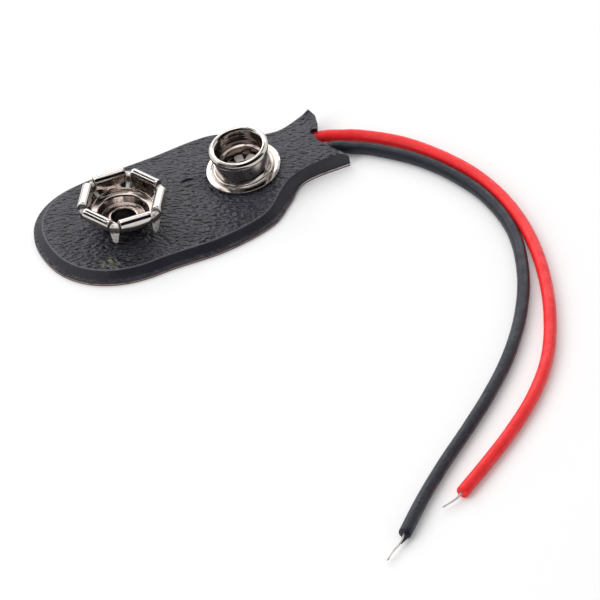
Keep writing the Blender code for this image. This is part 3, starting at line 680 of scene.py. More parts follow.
def places(tree, stretch=(1, 1, 1), turn_deg=0.0, start=(0, 0, 0)):
    """The surface's own coordinates in metres from the start, for a pattern that is turned and stretched."""
    mapping = add_node(tree, "ShaderNodeMapping", Scale=stretch, Location=start,
                       Rotation=(0, 0, math.radians(turn_deg)),
                       Vector=tree.nodes.new("ShaderNodeTexCoord").outputs["Object"])
    mapping.vector_type = "TEXTURE"
    return mapping.outputs["Vector"]


def noise_at(tree, where, scale, **inputs):
    """Cloudy noise, from 0 to 1, with this many clouds per metre."""
    return add_node(tree, "ShaderNodeTexNoise", Vector=where, Scale=scale, **inputs).outputs["Fac"]


def part_of(tree, vector, axis):
    """The vector's share along one axis."""
    return add_node(tree, "ShaderNodeSeparateXYZ", Vector=vector).outputs[axis]


def facing_up(tree, low, high):
    """How level the surface lies, from 0 on a wall to 1 on a flat top."""
    geometry = tree.nodes.new("ShaderNodeNewGeometry")
    return ramp_between(tree, part_of(tree, geometry.outputs["Normal"], "Z"), low, high)


def patch_at(tree, centre, reach, full=0.0):
    """A soft round patch on the surface: 1 out to the full share of its reach, and 0 from there outwards."""
    away = add_node(tree, "ShaderNodeVectorMath", Vector=places(tree, stretch=reach, start=centre))
    away.operation = "LENGTH"
    return ramp_between(tree, away.outputs["Value"], 1.0, full)


def patch_in_stud(tree, centre, reach, full):
    """A soft patch whose centre is given in the stud's own frame."""
    return patch_at(tree, stud_matrix() @ Vector(centre), reach, full)


def above(tree, low, high):
    """The climb from 0 to 1 between two heights."""
    return ramp_between(tree, part_of(tree, places(tree), "Z"), low, high)


def new_group(name, inputs, outputs):
    """An empty shader node group with named number sockets."""
    made = bpy.data.node_groups.new(name, "ShaderNodeTree")
    for label, value in inputs:
        made.interface.new_socket(label, in_out="INPUT", socket_type="NodeSocketFloat").default_value = value
    for label in outputs:
        made.interface.new_socket(label, in_out="OUTPUT", socket_type="NodeSocketFloat")
    return made, made.nodes.new("NodeGroupInput").outputs, made.nodes.new("NodeGroupOutput").inputs


def leather_grain():
    """Pebbles with creases between them, for embossed vinyl."""
    tree, given, out = new_group("leather_grain", (("Pebbles per metre", 2200.0), ("Wrinkle", 0.5)),
                                 ("Height", "Crease"))
    where = places(tree, stretch=(1.7, 0.85, 1.0), turn_deg=-33.0)
    stir = add_node(tree, "ShaderNodeTexNoise", Vector=where, Scale=800.0, Detail=1.0).outputs["Color"]
    stir = calc(tree, "SUBTRACT", stir, (0.5, 0.5, 0.5), kind="ShaderNodeVectorMath")
    stirred = calc(tree, "MULTIPLY_ADD", stir, (0.6 * MM,) * 3, where, kind="ShaderNodeVectorMath")
    cells = add_node(tree, "ShaderNodeTexVoronoi", Vector=stirred, Scale=given["Pebbles per metre"])
    cells.feature = "DISTANCE_TO_EDGE"
    rounded = ramp_between(tree, cells.outputs["Distance"], 0.0, 0.45)
    ripples = noise_at(tree, where, times(tree, given["Pebbles per metre"], 1.6), Roughness=0.4)
    lifted = times(tree, ripples, given["Wrinkle"])
    feed(tree, out["Height"], calc(tree, "MULTIPLY_ADD", rounded, 0.35, lifted))
    feed(tree, out["Crease"], ramp_between(tree, ripples, 0.5, 0.3))
    return tree


def soft_smudges():
    """Broad, faint patches that change how glossy a surface is."""
    tree, given, out = new_group("soft_smudges", (("Patches per metre", 300.0), ("Strength", 0.1)),
                                 ("Shift", "Patch"))
    broad = noise_at(tree, places(tree), given["Patches per metre"], Detail=4.0, Roughness=0.6)
    patch = ramp_between(tree, broad, 0.35, 0.65)
    feed(tree, out["Patch"], patch)
    feed(tree, out["Shift"], times(tree, calc(tree, "SUBTRACT", patch, 0.5), given["Strength"]))
    return tree


def stamped_waves():
    """Shallow waves and fine pits of thin stamped metal."""
    tree, given, out = new_group("stamped_waves", (("Waves per metre", 900.0), ("Pits", 0.1)), ("Height",))
    waves = noise_at(tree, places(tree), given["Waves per metre"], Detail=1.5, Roughness=0.5)
    pits = noise_at(tree, places(tree), 9000.0, Detail=2.0)
    feed(tree, out["Height"], calc(tree, "ADD", waves, times(tree, pits, given["Pits"])))
    return tree


def place_group(tree, builder, **inputs):
    """The outputs of a shared shader node group, which its builder makes once, with these inputs."""
    made = tree.nodes.new("ShaderNodeGroup")
    made.node_tree = bpy.data.node_groups.get(builder.__name__) or builder()
    return fed(tree, made, **inputs).outputs


def surface(name, colour, roughness, metallic=0.0, specular=0.5):
    """A material with its Principled shader, ready for its nodes."""
    made = bpy.data.materials.new(name)
    made.use_nodes = True
    tree = made.node_tree
    shader = tree.nodes["Principled BSDF"]
    fed(tree, shader, Base_Color=colour, Roughness=roughness, Metallic=metallic,
        Specular_IOR_Level=specular)
    return made, tree, shader


def dressed(tree, shader, colour, roughness, height, depth):
    """Gives the shader a colour and a roughness, and a bump of this depth in metres."""
    bump = add_node(tree, "ShaderNodeBump", Distance=depth, Height=height)
    fed(tree, shader, Base_Color=colour, Roughness=roughness, Normal=bump.outputs["Normal"])


def grained_vinyl(look):
    """Black vinyl: leather grain on the top with painted shade in the creases, smooth walls painted darker
    and bluer as shade, a painted highlight along the shoulder, a scuff, a nick painted near black as shade, a
    scratch.
    """
    made, tree, shader = surface("grained_vinyl", look.vinyl_colour, 0.36, specular=0.7)
    grain = place_group(tree, leather_grain, Pebbles_per_metre=1 / look.grain_size, Wrinkle=1.4)
    smudges = place_group(tree, soft_smudges, Patches_per_metre=260.0, Strength=0.12)
    flat = facing_up(tree, 0.86, 0.97)
    # rim is where a pale line is painted along the shoulder between the top and the walls: a painted
    # highlight
    rim = times(tree, facing_up(tree, 0.66, 0.8), facing_up(tree, 0.97, 0.9))
    rim = times(tree, rim, above(tree, 0.8 * MM, 1.2 * MM))
    nick = patch_at(tree, *NICK)
    marks = calc(tree, "ADD", times(tree, nick, 5.0), patch_at(tree, *SCRATCH))
    height = times(tree, grain["Height"], calc(tree, "MULTIPLY_ADD", flat, 0.92, 0.08))
    streaks = noise_at(tree, places(tree, stretch=(1.0, 2.0, 1.0)), 2600.0, Detail=3.0)
    scuff = times(tree, patch_at(tree, *SCUFF), ramp_between(tree, streaks, 0.4, 0.65))
    crease_shade, lighter, wall = (np.multiply(look.vinyl_colour, share) for share in (0.15, 2.4, (0.1, 0.1, 0.4)))
    # The creases are painted darker: painted shade in the grain's hollows
    base = mixed(tree, grain["Crease"], look.vinyl_colour, crease_shade)
    base = mixed(tree, times(tree, smudges["Patch"], 0.5), base, lighter)
    # The walls are painted darker and bluer than the top: painted shade
    base = mixed(tree, flat, wall, base)
    # Painted highlight along the shoulder
    base = mixed(tree, rim, base, SHOULDER_HIGHLIGHT)
    # The nick is painted near black: painted shade in its hollow
    base = mixed(tree, nick, base, NICK_SHADE)
    base = mixed(tree, times(tree, scuff, 0.6), base, SCUFF_GREY)
    rough = calc(tree, "ADD", calc(tree, "MULTIPLY_ADD", flat, -0.27, 0.6), smudges["Shift"])
    dressed(tree, shader, base, rough, calc(tree, "SUBTRACT", height, marks), look.grain_depth)
    return made


def back_vinyl(look):
    """The flat back sheet: black, with the pale core along the upper rim of its cut edge."""
    made, tree, shader = surface("smooth_back_vinyl", look.vinyl_colour, BACK_ROUGHNESS)
    grain = place_group(tree, leather_grain, Pebbles_per_metre=0.6 / look.grain_size, Wrinkle=0.3)
    smudges = place_group(tree, soft_smudges, Patches_per_metre=200.0, Strength=0.15)
    rim = times(tree, facing_up(tree, 0.9, 0.7), above(tree, BACK_SHEET * 0.4, BACK_SHEET * 0.6))
    uneven = noise_at(tree, places(tree), 700.0, Detail=3.0)
    pale = times(tree, rim, ramp_between(tree, uneven, 0.2, 0.5))
    core = mixed(tree, ramp_between(tree, part_of(tree, places(tree), "X"), SLOPE_X, NECK_X),
                 np.multiply(look.cut_colour, (0.42, 0.32, 0.3)), look.cut_colour)
    dressed(tree, shader, mixed(tree, pale, look.vinyl_colour, core),
            calc(tree, "ADD", smudges["Shift"], BACK_ROUGHNESS), grain["Height"], look.grain_depth * 0.3)
    return made


def nickel_plate(look):
    """Bright nickel over stamped sheet, a little smudged, with brown painted shade and reflection inside the
    two snaps.
    """
    made, tree, shader = surface("nickel_plate", look.nickel_colour, NICKEL_ROUGHNESS, metallic=1.0)
    smudges = place_group(tree, soft_smudges, Patches_per_metre=900.0, Strength=0.1)
    waves = place_group(tree, stamped_waves, Waves_per_metre=1100.0, Pits=0.05)
    # Painted shade and brown reflection inside the clip's cup and the stud's bore
    hollow_shade = calc(tree, "MAXIMUM", patch_at(tree, *INSIDE_CLIP), patch_in_stud(tree, *STUD_BORE))
    base = mixed(tree, times(tree, smudges["Patch"], 0.6), look.nickel_colour,
                 np.multiply(look.nickel_colour, (0.92, 0.86, 0.8)))
    dressed(tree, shader, mixed(tree, times(tree, hollow_shade, 0.7), base, look.tarnish_colour),
            calc(tree, "ADD", smudges["Shift"], NICKEL_ROUGHNESS), waves["Height"], look.wobble)
    return made


def scraped_nickel(look):
    """Nickel of the tabs and the star, scraped dull and speckled, with painted shade under the tabs' folds
    and on one tab, and painted shade and brown reflection on the star inside the stud.
    """
    made, tree, shader = surface("scraped_nickel", look.nickel_colour, SCRAPED_ROUGHNESS, metallic=0.25)
    specks = place_group(tree, soft_smudges, Patches_per_metre=4500.0, Strength=0.25)
    waves = place_group(tree, stamped_waves, Waves_per_metre=3200.0, Pits=0.8)
    height = part_of(tree, places(tree), "Z")
    top = BODY_HEIGHT + TAB_ROLL_HEIGHT
    uneven = calc(tree, "MULTIPLY_ADD", specks["Patch"], 0.25 * MM, height)
    # Painted shade under the fold at the top of each tab
    fold_shade = times(tree, ramp_between(tree, uneven, top - 0.35 * MM, top - 0.1 * MM),
                   ramp_between(tree, height, top + 0.29 * MM, top + 0.2 * MM))
    dark = calc(tree, "MAXIMUM", times(tree, specks["Patch"], 0.6), fold_shade)
    # One tab darkened all over as painted shade
    dark = calc(tree, "MAXIMUM", dark, times(tree, patch_at(tree, *SHADED_TAB), 0.9))
    # Inside the stud the star is painted toward the hollow colour: painted shade and brown reflection
    inside_stud = patch_in_stud(tree, *STUD_FLOOR)
    dark = times(tree, dark, calc(tree, "MULTIPLY_ADD", inside_stud, -0.5, 1.0))
    bright = np.minimum(1.0, np.multiply(look.nickel_colour, 1.35))
    base = mixed(tree, times(tree, inside_stud, 0.4), mixed(tree, dark, bright, SPECK_AND_SHADE_BROWN),
                 look.tarnish_colour)
    dressed(tree, shader, base, calc(tree, "ADD", specks["Shift"], SCRAPED_ROUGHNESS), waves["Height"],
            look.wobble * 4)
    return made


def smudged(name, colour, smudge_colour, most, roughness, sizes, strengths, depth, **shine):
    """A plain finish with smudges of another colour, and fine waves and pits."""
    made, tree, shader = surface(name, colour, roughness, **shine)
    smudges = place_group(tree, soft_smudges, Patches_per_metre=sizes[0], Strength=strengths[0])
    waves = place_group(tree, stamped_waves, Waves_per_metre=sizes[1], Pits=strengths[1])
    dressed(tree, shader, mixed(tree, times(tree, smudges["Patch"], most), colour, smudge_colour),
            calc(tree, "ADD", smudges["Shift"], roughness), waves["Height"], depth)
    return made


def tinned_copper(look):
    """Fine wires with a dull coat of tin."""
    return smudged("tinned_copper", look.tin_colour, COPPERY, 0.12, TIN_ROUGHNESS, (2500.0, 4000.0),
                   (0.2, 0.4), look.wobble, metallic=0.8)


def insulation(name, colour, roughness):
    """Extruded satin plastic round a wire, with faint draw lines and handling marks."""
    return smudged(name, colour, np.multiply(colour, 0.8), 0.5, roughness, (700.0, 2200.0),
                   (0.2, 0.35), 0.04 * MM, specular=0.35)


def pressed_fibre():
    """The brown pressed board inside the cover."""
    made, tree, shader = surface("pressed_fibre", (0.2, 0.12, 0.065), 0.8)
    fibres = noise_at(tree, places(tree, stretch=(6.0, 1.0, 1.0)), 1800.0, Detail=5.0, Roughness=0.7)
    dressed(tree, shader, mixed(tree, fibres, (0.13, 0.075, 0.04), (0.3, 0.19, 0.11)), 0.8, fibres,
            0.02 * MM)
    return made


# The cover's shape


def rise(x):
    """How far the top climbs over the leads, in the ramp that carries the stud, with its ends eased."""
    reach = RAMP_TO - RAMP_FROM
    steps = (np.hypot(x - RAMP_FROM, RAMP_EASE) - np.hypot(x - RAMP_TO, RAMP_EASE)) / 2
    return math.tan(LEAN) * float(np.clip(steps + reach / 2, 0, reach))


def eased(share):
    """A smooth climb from 0 to 1 as the share goes from 0 to 1."""
    held = min(max(share, 0), 1)
    return held * held * (3 - 2 * held)


def top_of_body(x, y):
    """The height of the cover's top: level, then the ramp, down at the tail's near corner, up at its tip."""
    across = eased((CORNER_FROM_Y - y) / (CORNER_FROM_Y - CORNER_FULL_Y))
    along = min(max((x - TAIL_END_X + CORNER_REACH) / CORNER_REACH, 0), 1)
    drop = CORNER_DROP * across * (1 - math.sqrt(1 - along ** 2))
    beyond = [(place - start) / reach for place, start, reach in zip((x, y), FLICK_FROM, FLICK_REACH)]
    return BODY_HEIGHT + rise(x) - drop + FLICK_HEIGHT * eased(beyond[0]) * eased(beyond[1])


def cover_edge(widths, side, squareness):
    """One side of the lip's edge, from the middle of the round end to the tail."""
    lobe = []
    for angle in np.linspace(0, math.pi / 2, LOBE_STEPS, endpoint=False):
        power = 2 / squareness
        lobe.append((CLIP_X - CLIP_TO_COVER_END * math.cos(angle) ** power,
                     side * widths[0] * math.sin(angle) ** power))
    middle_x = (CLIP_X + STUD_X) / 2
    stations = (CLIP_X, middle_x, SHOULDER_X, SLOPE_X, NECK_X, TAIL_END_X)
    knots = np.array([(x, side * width) for x, width in zip(stations, widths)])
    mirrored = (2 * CLIP_X - middle_x, side * widths[1])
    before_tail = through(knots, SPAN_STEPS, mirrored)[:-SPAN_STEPS]
    tail = through(knots, TAIL_STEPS, mirrored)[-TAIL_STEPS:]
    return np.vstack([lobe, before_tail, tail])


def inset_edges(inset):
    """The near and far edges of the cover, moved in by the inset, as two lists that pair up."""
    pairs = []
    for widths, side, squareness in ((NEAR_WIDTHS, -1, NEAR_SQUARENESS), (FAR_WIDTHS, 1, FAR_SQUARENESS)):
        points = cover_edge(widths, side, squareness)
        ways = np.gradient(points, axis=0)
        ways[0] = (0, side)
        ways[-1] = (1, 0)
        ways = unit(ways)
        inwards = side * np.stack([ways[:, 1], -ways[:, 0]], axis=1)
        slopes = [1 - (1 - TAIL_SLOPE) * eased((x - STEEPER_X) / STEEPER_REACH) for x in points[:, 0]]
        pairs.append(points + inwards * inset * np.array(slopes)[:, None])
    return pairs


def flange_plane(x):
    """The height of the stud's seat at x."""
    return BODY_HEIGHT + rise(STUD_X) + math.tan(LEAN) * (x - STUD_X)


def top_height(x, y, from_edge):
    """The top sheet: level, then the ramp, lower near its edges and under the stud's flange, never flat."""
    base = top_of_body(x, y)
    from_stud = math.hypot(x - STUD_X, y)
    edge_x = STUD_X + (x - STUD_X) * min(1, FLANGE_RADIUS / max(from_stud, 1e-9))
    sunk = max(0.0, BODY_HEIGHT + rise(edge_x) - flange_plane(edge_x))
    fall = math.exp(-(max(0.0, from_stud - FLANGE_RADIUS) / SEAT_FADE) ** 2)
    from_clip = math.hypot(x - CLIP_X, y)
    ring = CLIP_RING_DEPTH * math.exp(-((from_clip - CLIP_RING_RADIUS) / SEAT_FADE) ** 2)
    slow = sum(noise.noise(Vector((x, y, 7 * k)) * rate) * depth for k, (rate, depth) in enumerate(WAVES))
    pillow = PILLOW_FALL * max(0.0, 1 - from_edge / PILLOW_REACH) ** 2
    return base - sunk * fall - ring + slow * eased(from_edge / WAVES_FROM_EDGE) - pillow


def level(height):
    """The same height everywhere."""
    return lambda x, y, from_edge: height


def grid_rows(near, far, height, columns):
    """Rows of points across the cover between two edges that share their first point."""
    rows = [[(near[0][0], near[0][1], height(near[0][0], near[0][1], 0.0))]]
    for start, stop in zip(near[1:], far[1:]):
        row = []
        for share in np.linspace(0, 1, columns + 1):
            x, y = start + (stop - start) * share
            from_edge = min(share, 1 - share) * (stop[1] - start[1])
            row.append((x, y, height(x, y, from_edge)))
        rows.append(row)
    return rows


def plate(name, levels, columns, finish):
    """A closed plate out of stacked outlines: (inset, height) from the bottom face to the top face."""
    verts, faces = [], []

    def add_face_grid(inset, height):
        near, far = inset_edges(inset)
        rows = []
        for row in grid_rows(near, far, height, columns):
            rows.append(list(range(len(verts), len(verts) + len(row))))
            verts.extend(row)
        for left, right in zip(rows[1], rows[1][1:]):
            faces.append((rows[0][0], left, right))
        faces.extend(quads(len(rows) - 1, columns + 1, rows[1][0]))
        around = [row[0] for row in rows[:0:-1]] + [rows[0][0]] + [row[-1] for row in rows[1:]]
        return around, rows[-1]

    bottom_loop, bottom_end = add_face_grid(*levels[0])
    loops = [bottom_loop]
    for inset, height in levels[1:-1]:
        near, far = inset_edges(inset)
        outline = [*near[:0:-1], *far]
        loops.append(list(range(len(verts), len(verts) + len(outline))))
        verts.extend((x, y, height(x, y, 0.0)) for x, y in outline)
    top_loop, top_end = add_face_grid(*levels[-1])
    loops.append(top_loop)
    for first, second in zip(loops, loops[1:]):
        for a, b, c, d in zip(first, first[1:], second[1:], second):
            faces.append((a, b, c, d))
    near_end = [loop[0] for loop in loops[1:-1]]
    far_end = [loop[-1] for loop in loops[1:-1]]
    faces.append((*bottom_end[::-1], *near_end, *top_end, *far_end[::-1]))
    return piece(name, verts, faces, finish)


def past_tail(name):
    """Everything past the cover's concave end, as a cutter."""
    reach = 2 * max(FAR_WIDTHS)
    curve = through(np.array([(TAIL_END_X - before, y) for before, y in END_CUT]), 6)
    outline = [(TAIL_END_X, -reach), *curve, (curve[-1][0], reach), (TAIL_END_X + reach, reach),
               (TAIL_END_X + reach, -reach)]
    return prism(name, outline, -BODY_HEIGHT, 4 * BODY_HEIGHT)


def stud_matrix():
    """Where the stud's own frame sits: on the ramp, leaning with it."""
    return (Matrix.Translation((STUD_X, 0, BODY_HEIGHT + math.tan(LEAN) * (STUD_X - RAMP_FROM)))
            @ Matrix.Rotation(-LEAN, 4, "Y"))


def clip_matrix():
    """Where the clip's own frame sits: on the level part of the top."""
    return Matrix.Translation((CLIP_X, 0, BODY_HEIGHT))


def build_top_cover(look):
    lip_top = BACK_SHEET + FIT + LIP_HEIGHT

    def wall_height(share):
        return lambda x, y, from_edge: lip_top + (top_of_body(x, y) - PILLOW_FALL - lip_top) * share

    wall = through(np.array(WALL_SHAPE), 3)
    levels = [(EASED_EDGE, level(BACK_SHEET + FIT)), (0.0, level(BACK_SHEET + FIT + EASED_EDGE))]
    levels += [(inset, wall_height(share)) for inset, share in wall[:-1]]
    levels.append((wall[-1][0], top_height))
    cover = plate("top_cover_skin", levels, look.columns, grained_vinyl(look))

    near, far = inset_edges(WALL)
    kept = [k for k in range(len(near)) if near[k][0] < BOARD_END_X and far[k][0] < BOARD_END_X]
    outline = [*near[kept][::-1], *far[kept][1:]]
    pocket = prism("board_pocket", outline, -BACK_SHEET, BODY_HEIGHT - TOP_SHEET)
    side = LEAD_SPACING / 2 + LEAD_RADIUS + TUNNEL_SIDE_ROOM
    mouth = MOUTH_WIDTH / 2
    past = TAIL_END_X + BODY_HEIGHT
    start = BOARD_END_X - BODY_HEIGHT
    tunnel = prism("lead_tunnel", [(start, -side), (NECK_X, -side), (TAIL_END_X, -mouth), (past, -mouth),
                                   (past, mouth), (TAIL_END_X, mouth), (NECK_X, side), (start, side)],
                   -BACK_SHEET, BACK_SHEET + LEAD_DIAMETER + TUNNEL_TOP_ROOM)
    notch = drum("red_lead_notch", NOTCH_RADIUS, BACK_SHEET, 4 * BODY_HEIGHT,
                 Matrix.Translation((NOTCH_X, NOTCH_Y, 0)))
    seat = drum("flange_seat", FLANGE_RADIUS + FIT, 0, STUD_HEIGHT, stud_matrix(), 96)
    through_both = (-2 * BODY_HEIGHT, 2 * BODY_HEIGHT)
    room = RIVET_SHEET / 2 + 2 * FIT
    cut(cover, pocket, tunnel, past_tail("tail_end"), notch, seat,
        drum("clip_hole", SOCKET_RIVET_RADIUS + room, *through_both, clip_matrix()),
        drum("stud_hole", STUD_RIVET_RADIUS + room, *through_both, stud_matrix()))
    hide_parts("top_cover")
    return cover


def build_back_cover(look):
    levels = [(inset, level(height)) for inset, height in BACK_EDGE]
    cover = plate("back_cover_sheet", levels, 4, back_vinyl(look))
    cut(cover, past_tail("back_tail_end"))
    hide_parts("back_cover")
    return cover


# The socket clip


def petal_paths():
    """Each column of a petal: up from the round cup to the flat side, over in a roll and down."""
    paths = []
    half = PETAL_LENGTH / 2
    roll_x = PETAL_WALL_APOTHEM + ROLL_RADIUS
    flap_x = roll_x + ROLL_RADIUS
    for across in np.linspace(-half, half, PETAL_COLUMNS):
        root_across = across * PETAL_ROOT_LENGTH / PETAL_LENGTH
        start = math.sqrt(CUP_RADIUS ** 2 - root_across ** 2)
        flap = FLAP_IN_MIDDLE + (FLAP_AT_ENDS - FLAP_IN_MIDDLE) * (across / half) ** 2
        knots = [(start, root_across, CUP_HEIGHT - CUP_SHEET), (start, root_across, CUP_HEIGHT),
                 (PETAL_WALL_APOTHEM, across, PETAL_BEND_HEIGHT)]
        spots = list(through(np.array(knots), 4)[:-1])
        spots.append((PETAL_WALL_APOTHEM, across, PETAL_BEND_HEIGHT))
        for angle in np.linspace(math.pi, 0, PETAL_ROLL_STEPS):
            out, up = turned(ROLL_RADIUS, 0, angle)
            spots.append((roll_x + out, across, ROLL_HEIGHT + up))
        for share in (0.5, 1.0):
            spots.append((flap_x - FLAP_LEAN * share, across, ROLL_HEIGHT - flap * share))
        paths.append(np.array(spots, float))
    return paths


def tab_paths(number):
    """Each column of a corner tab: up between the petals, over, and down to the vinyl, a bit crumpled."""
    centre_x = TAB_RADIUS + TAB_ROLL_RADIUS
    start_x = centre_x + TAB_ROLL_RADIUS
    root_z = CUP_HEIGHT - CUP_SHEET
    crumple = TAB_CRUMPLES[number % 2]
    width_scale = TAB_WIDTH_SCALES[number]
    paths = []
    for share in np.linspace(-1, 1, TAB_COLUMNS):
        spots = [(CUP_RADIUS, root_z, TAB_ROOT_WIDTH), (CUP_RADIUS, CUP_HEIGHT, TAB_ROOT_WIDTH),
                 (TAB_RADIUS, TAB_ROLL_HEIGHT - TAB_ROLL_RADIUS, TAB_ROOT_WIDTH)]
        for angle in np.linspace(math.pi, 0, TAB_ROLL_STEPS):
            out, up = turned(TAB_ROLL_RADIUS, 0, angle)
            spread = (1 + math.cos(angle)) / 2
            spots.append((centre_x + out, TAB_ROLL_HEIGHT + up,
                          TAB_ROOT_WIDTH + (TAB_SHOULDER_WIDTH - TAB_ROOT_WIDTH) * spread))
        round_end = TAB_TIP_WIDTH / 2 * (1 - math.cos(math.radians(TAB_TIP_TURN_DEG) * share))
        for down in np.linspace(0, 1, TAB_STEPS)[1:]:
            z = TAB_ROLL_HEIGHT + (TAB_TIP_HEIGHT - TAB_ROLL_HEIGHT) * down * TAB_REACHES[number]
            dent = noise.noise(Vector(np.multiply((share, down, number), TAB_CRUMPLE_RATES))) * crumple * down
            spots.append((start_x - TAB_TIP_INSET * down + dent, z + round_end * down ** 3,
                          TAB_SHOULDER_WIDTH + (TAB_TIP_WIDTH - TAB_SHOULDER_WIDTH) * down))
        paths.append(np.array([(x, share * width_scale * width / 2, z) for x, z, width in spots]))
    return paths


def build_socket_crown(look, plating, scraped):
    floor = FIT + CUP_SHEET / 2
    bore = SOCKET_RIVET_RADIUS + RIVET_SHEET / 2 + 2 * FIT
    corners = ((bore, floor, 0), (CUP_FLOOR_RADIUS, floor, BEND), (LEDGE_RADIUS, LEDGE_HEIGHT, BEND),
               (CUP_RADIUS, LEDGE_HEIGHT + LEDGE_SLOPE, SMALL_BEND), (CUP_RADIUS, CUP_HEIGHT, 0))
    cup = revolved("socket_crown_stamping", corners, CUP_SHEET, plating, look.round_steps)
    turns = [math.radians(PETAL_TURN_DEG) + 2 * math.pi * k / PETALS for k in range(PETALS)]
    petals = strips("petals", turns, lambda number: petal_paths(), PETAL_SHEET, plating)
    tabs = strips("tabs", [turn + math.pi / PETALS for turn in turns], tab_paths, PETAL_SHEET, scraped)
    crown = joined(cup, petals, tabs)
    crown.data.transform(clip_matrix())
    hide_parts("socket_crown")
    return crown


# The stud and the rivets


def build_stud_cup(look, plating):
    seat = FIT + STUD_SHEET / 2
    bore = STUD_RIVET_RADIUS + RIVET_SHEET / 2 + 2 * FIT
    rim_bottom = STUD_HEIGHT - RIM_DEPTH
    ridge_heights = np.arange(rim_bottom, BORE_STEP_HEIGHT + BEND, -BORE_RIDGE_PITCH / 2)
    ridges = [(BORE_RADIUS + (-1) ** k * BORE_RIDGE, z, BEND) for k, z in enumerate(ridge_heights)]
    corners = ((FLANGE_RADIUS, seat + FLANGE_LIFT - RING_FALL, 0),
               (FLANGE_RADIUS - FLANGE_RING / 2, seat + FLANGE_LIFT, FLANGE_RING),
               (FLANGE_RADIUS - FLANGE_RING, seat + FLANGE_LIFT, SHARP_BEND),
               (FLANGE_RADIUS - FLANGE_RING - FLANGE_LIFT / 2, seat, SHARP_BEND),
               (COLLAR_RADIUS + COLLAR_STEP, seat, SHARP_BEND),
               (COLLAR_RADIUS, seat + COLLAR_HEIGHT, SMALL_BEND),
               (COLLAR_RADIUS - COLLAR_STEP, seat + COLLAR_HEIGHT, SMALL_BEND),
               (NECK_RADIUS, seat + 2 * COLLAR_HEIGHT, BEND), (NECK_RADIUS, rim_bottom, BEND),
               (RIM_RADIUS, rim_bottom + RIM_DEPTH / 3, BEND),
               (RIM_RADIUS, STUD_HEIGHT - RIM_DEPTH / 4, SMALL_BEND),
               (RIM_RADIUS - RIM_DEPTH / 4, STUD_HEIGHT, SMALL_BEND),
               (BORE_RADIUS + RIM_DEPTH / 6, STUD_HEIGHT, SMALL_BEND),
               (BORE_RADIUS, STUD_HEIGHT - RIM_DEPTH / 4, SMALL_BEND), *ridges,
               (BORE_RADIUS, BORE_STEP_HEIGHT, SMALL_BEND),
               (BORE_STEP_RADIUS, BORE_STEP_HEIGHT - COLLAR_STEP, SMALL_BEND),
               (BORE_STEP_RADIUS, seat, SMALL_BEND), (bore, seat, 0))

    def wave(radius, angle):
        """The flange's edge is not quite round or level, as it was sheared."""
        share = max(0.0, (radius - COLLAR_RADIUS) / (FLANGE_RADIUS - COLLAR_RADIUS))
        at = Vector((*turned(1, 0, angle), 0)) * SHEARED_RATE
        return (-abs(noise.noise(at)) * SHEARED_IN * share,
                abs(noise.noise(at * SHEARED_UP_RATE)) * SHEARED_UP * share)

    stud = revolved("stud_cup_stamping", corners, STUD_SHEET, plating, look.round_steps, wave)
    stud.data.transform(stud_matrix())
    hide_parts("stud_cup")
    return stud


def build_rivet(name, radius, upper_corners, plating, look):
    """A rivet's tube with its head under the board, and the corners that its upper end goes through."""
    head = -BOARD_UNDER_TOP - FIT - RIVET_SHEET / 2
    corners = ((radius + RIVET_HEAD_REACH, head, 0), (radius, head, SMALL_BEND), *upper_corners)
    return revolved(name, corners, RIVET_SHEET, plating, look.round_steps)


def build_socket_rivet(look, plating):
    curl = 2 * FIT + CUP_SHEET + RIVET_SHEET / 2
    upper = ((SOCKET_RIVET_RADIUS, curl, SMALL_BEND), (SOCKET_RIVET_RADIUS + RIVET_CURL_REACH, curl, 0))
    rivet = build_rivet("socket_rivet_tube", SOCKET_RIVET_RADIUS, upper, plating, look)
    rivet.data.transform(clip_matrix())
    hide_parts("socket_rivet")
    return rivet


def prong_paths(number):
    """One prong of the star: out of the tube's mouth and down onto the floor, curled its own way."""
    radius = STUD_RIVET_RADIUS
    floor = 2 * FIT + STUD_SHEET + RIVET_SHEET / 2
    rng = np.random.default_rng(STAR_SEED + number)
    lift = STAR_LIFT * rng.uniform(*PRONG_LIFTS)
    reach = STAR_REACH * rng.uniform(*PRONG_REACHES)
    half = math.pi / STAR_PRONGS * rng.uniform(*PRONG_WIDTHS)
    paths = []
    for share in np.linspace(-1, 1, PRONG_COLUMNS):
        width = half * share
        spots = []
        for along in np.linspace(0, 1, PRONG_STEPS):
            # The bend ends before the middle, then the prong runs out and its end curls up
            turn = math.pi / 2 * min(1, along * 2.2)
            out = radius + SMALL_BEND * (1 - math.cos(turn)) + reach * max(0, along - 0.3) / 0.7
            up = floor - SMALL_BEND * (1 - math.sin(turn)) + lift * max(0, along - 0.4) ** 1.6 * 1.9
            narrow = 1 - PRONG_NARROWING * along ** 2
            spots.append((*turned(out, 0, width * narrow), up - PRONG_DROOP * abs(share) * along))
        paths.append(np.array(spots))
    return paths


def build_stud_rivet(look, plating, scraped):
    top = 2 * FIT + STUD_SHEET + RIVET_SHEET / 2 - SMALL_BEND / 2
    tube = build_rivet("stud_rivet_star", STUD_RIVET_RADIUS, ((STUD_RIVET_RADIUS, top, 0),), plating, look)
    turns = [2 * math.pi * (k + STAR_TURN) / STAR_PRONGS for k in range(STAR_PRONGS)]
    prongs = strips("prongs", turns, prong_paths, PRONG_SHEET, scraped)
    rivet = joined(tube, prongs)
    rivet.data.transform(stud_matrix())
    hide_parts("stud_rivet")
    return rivet


# The leads


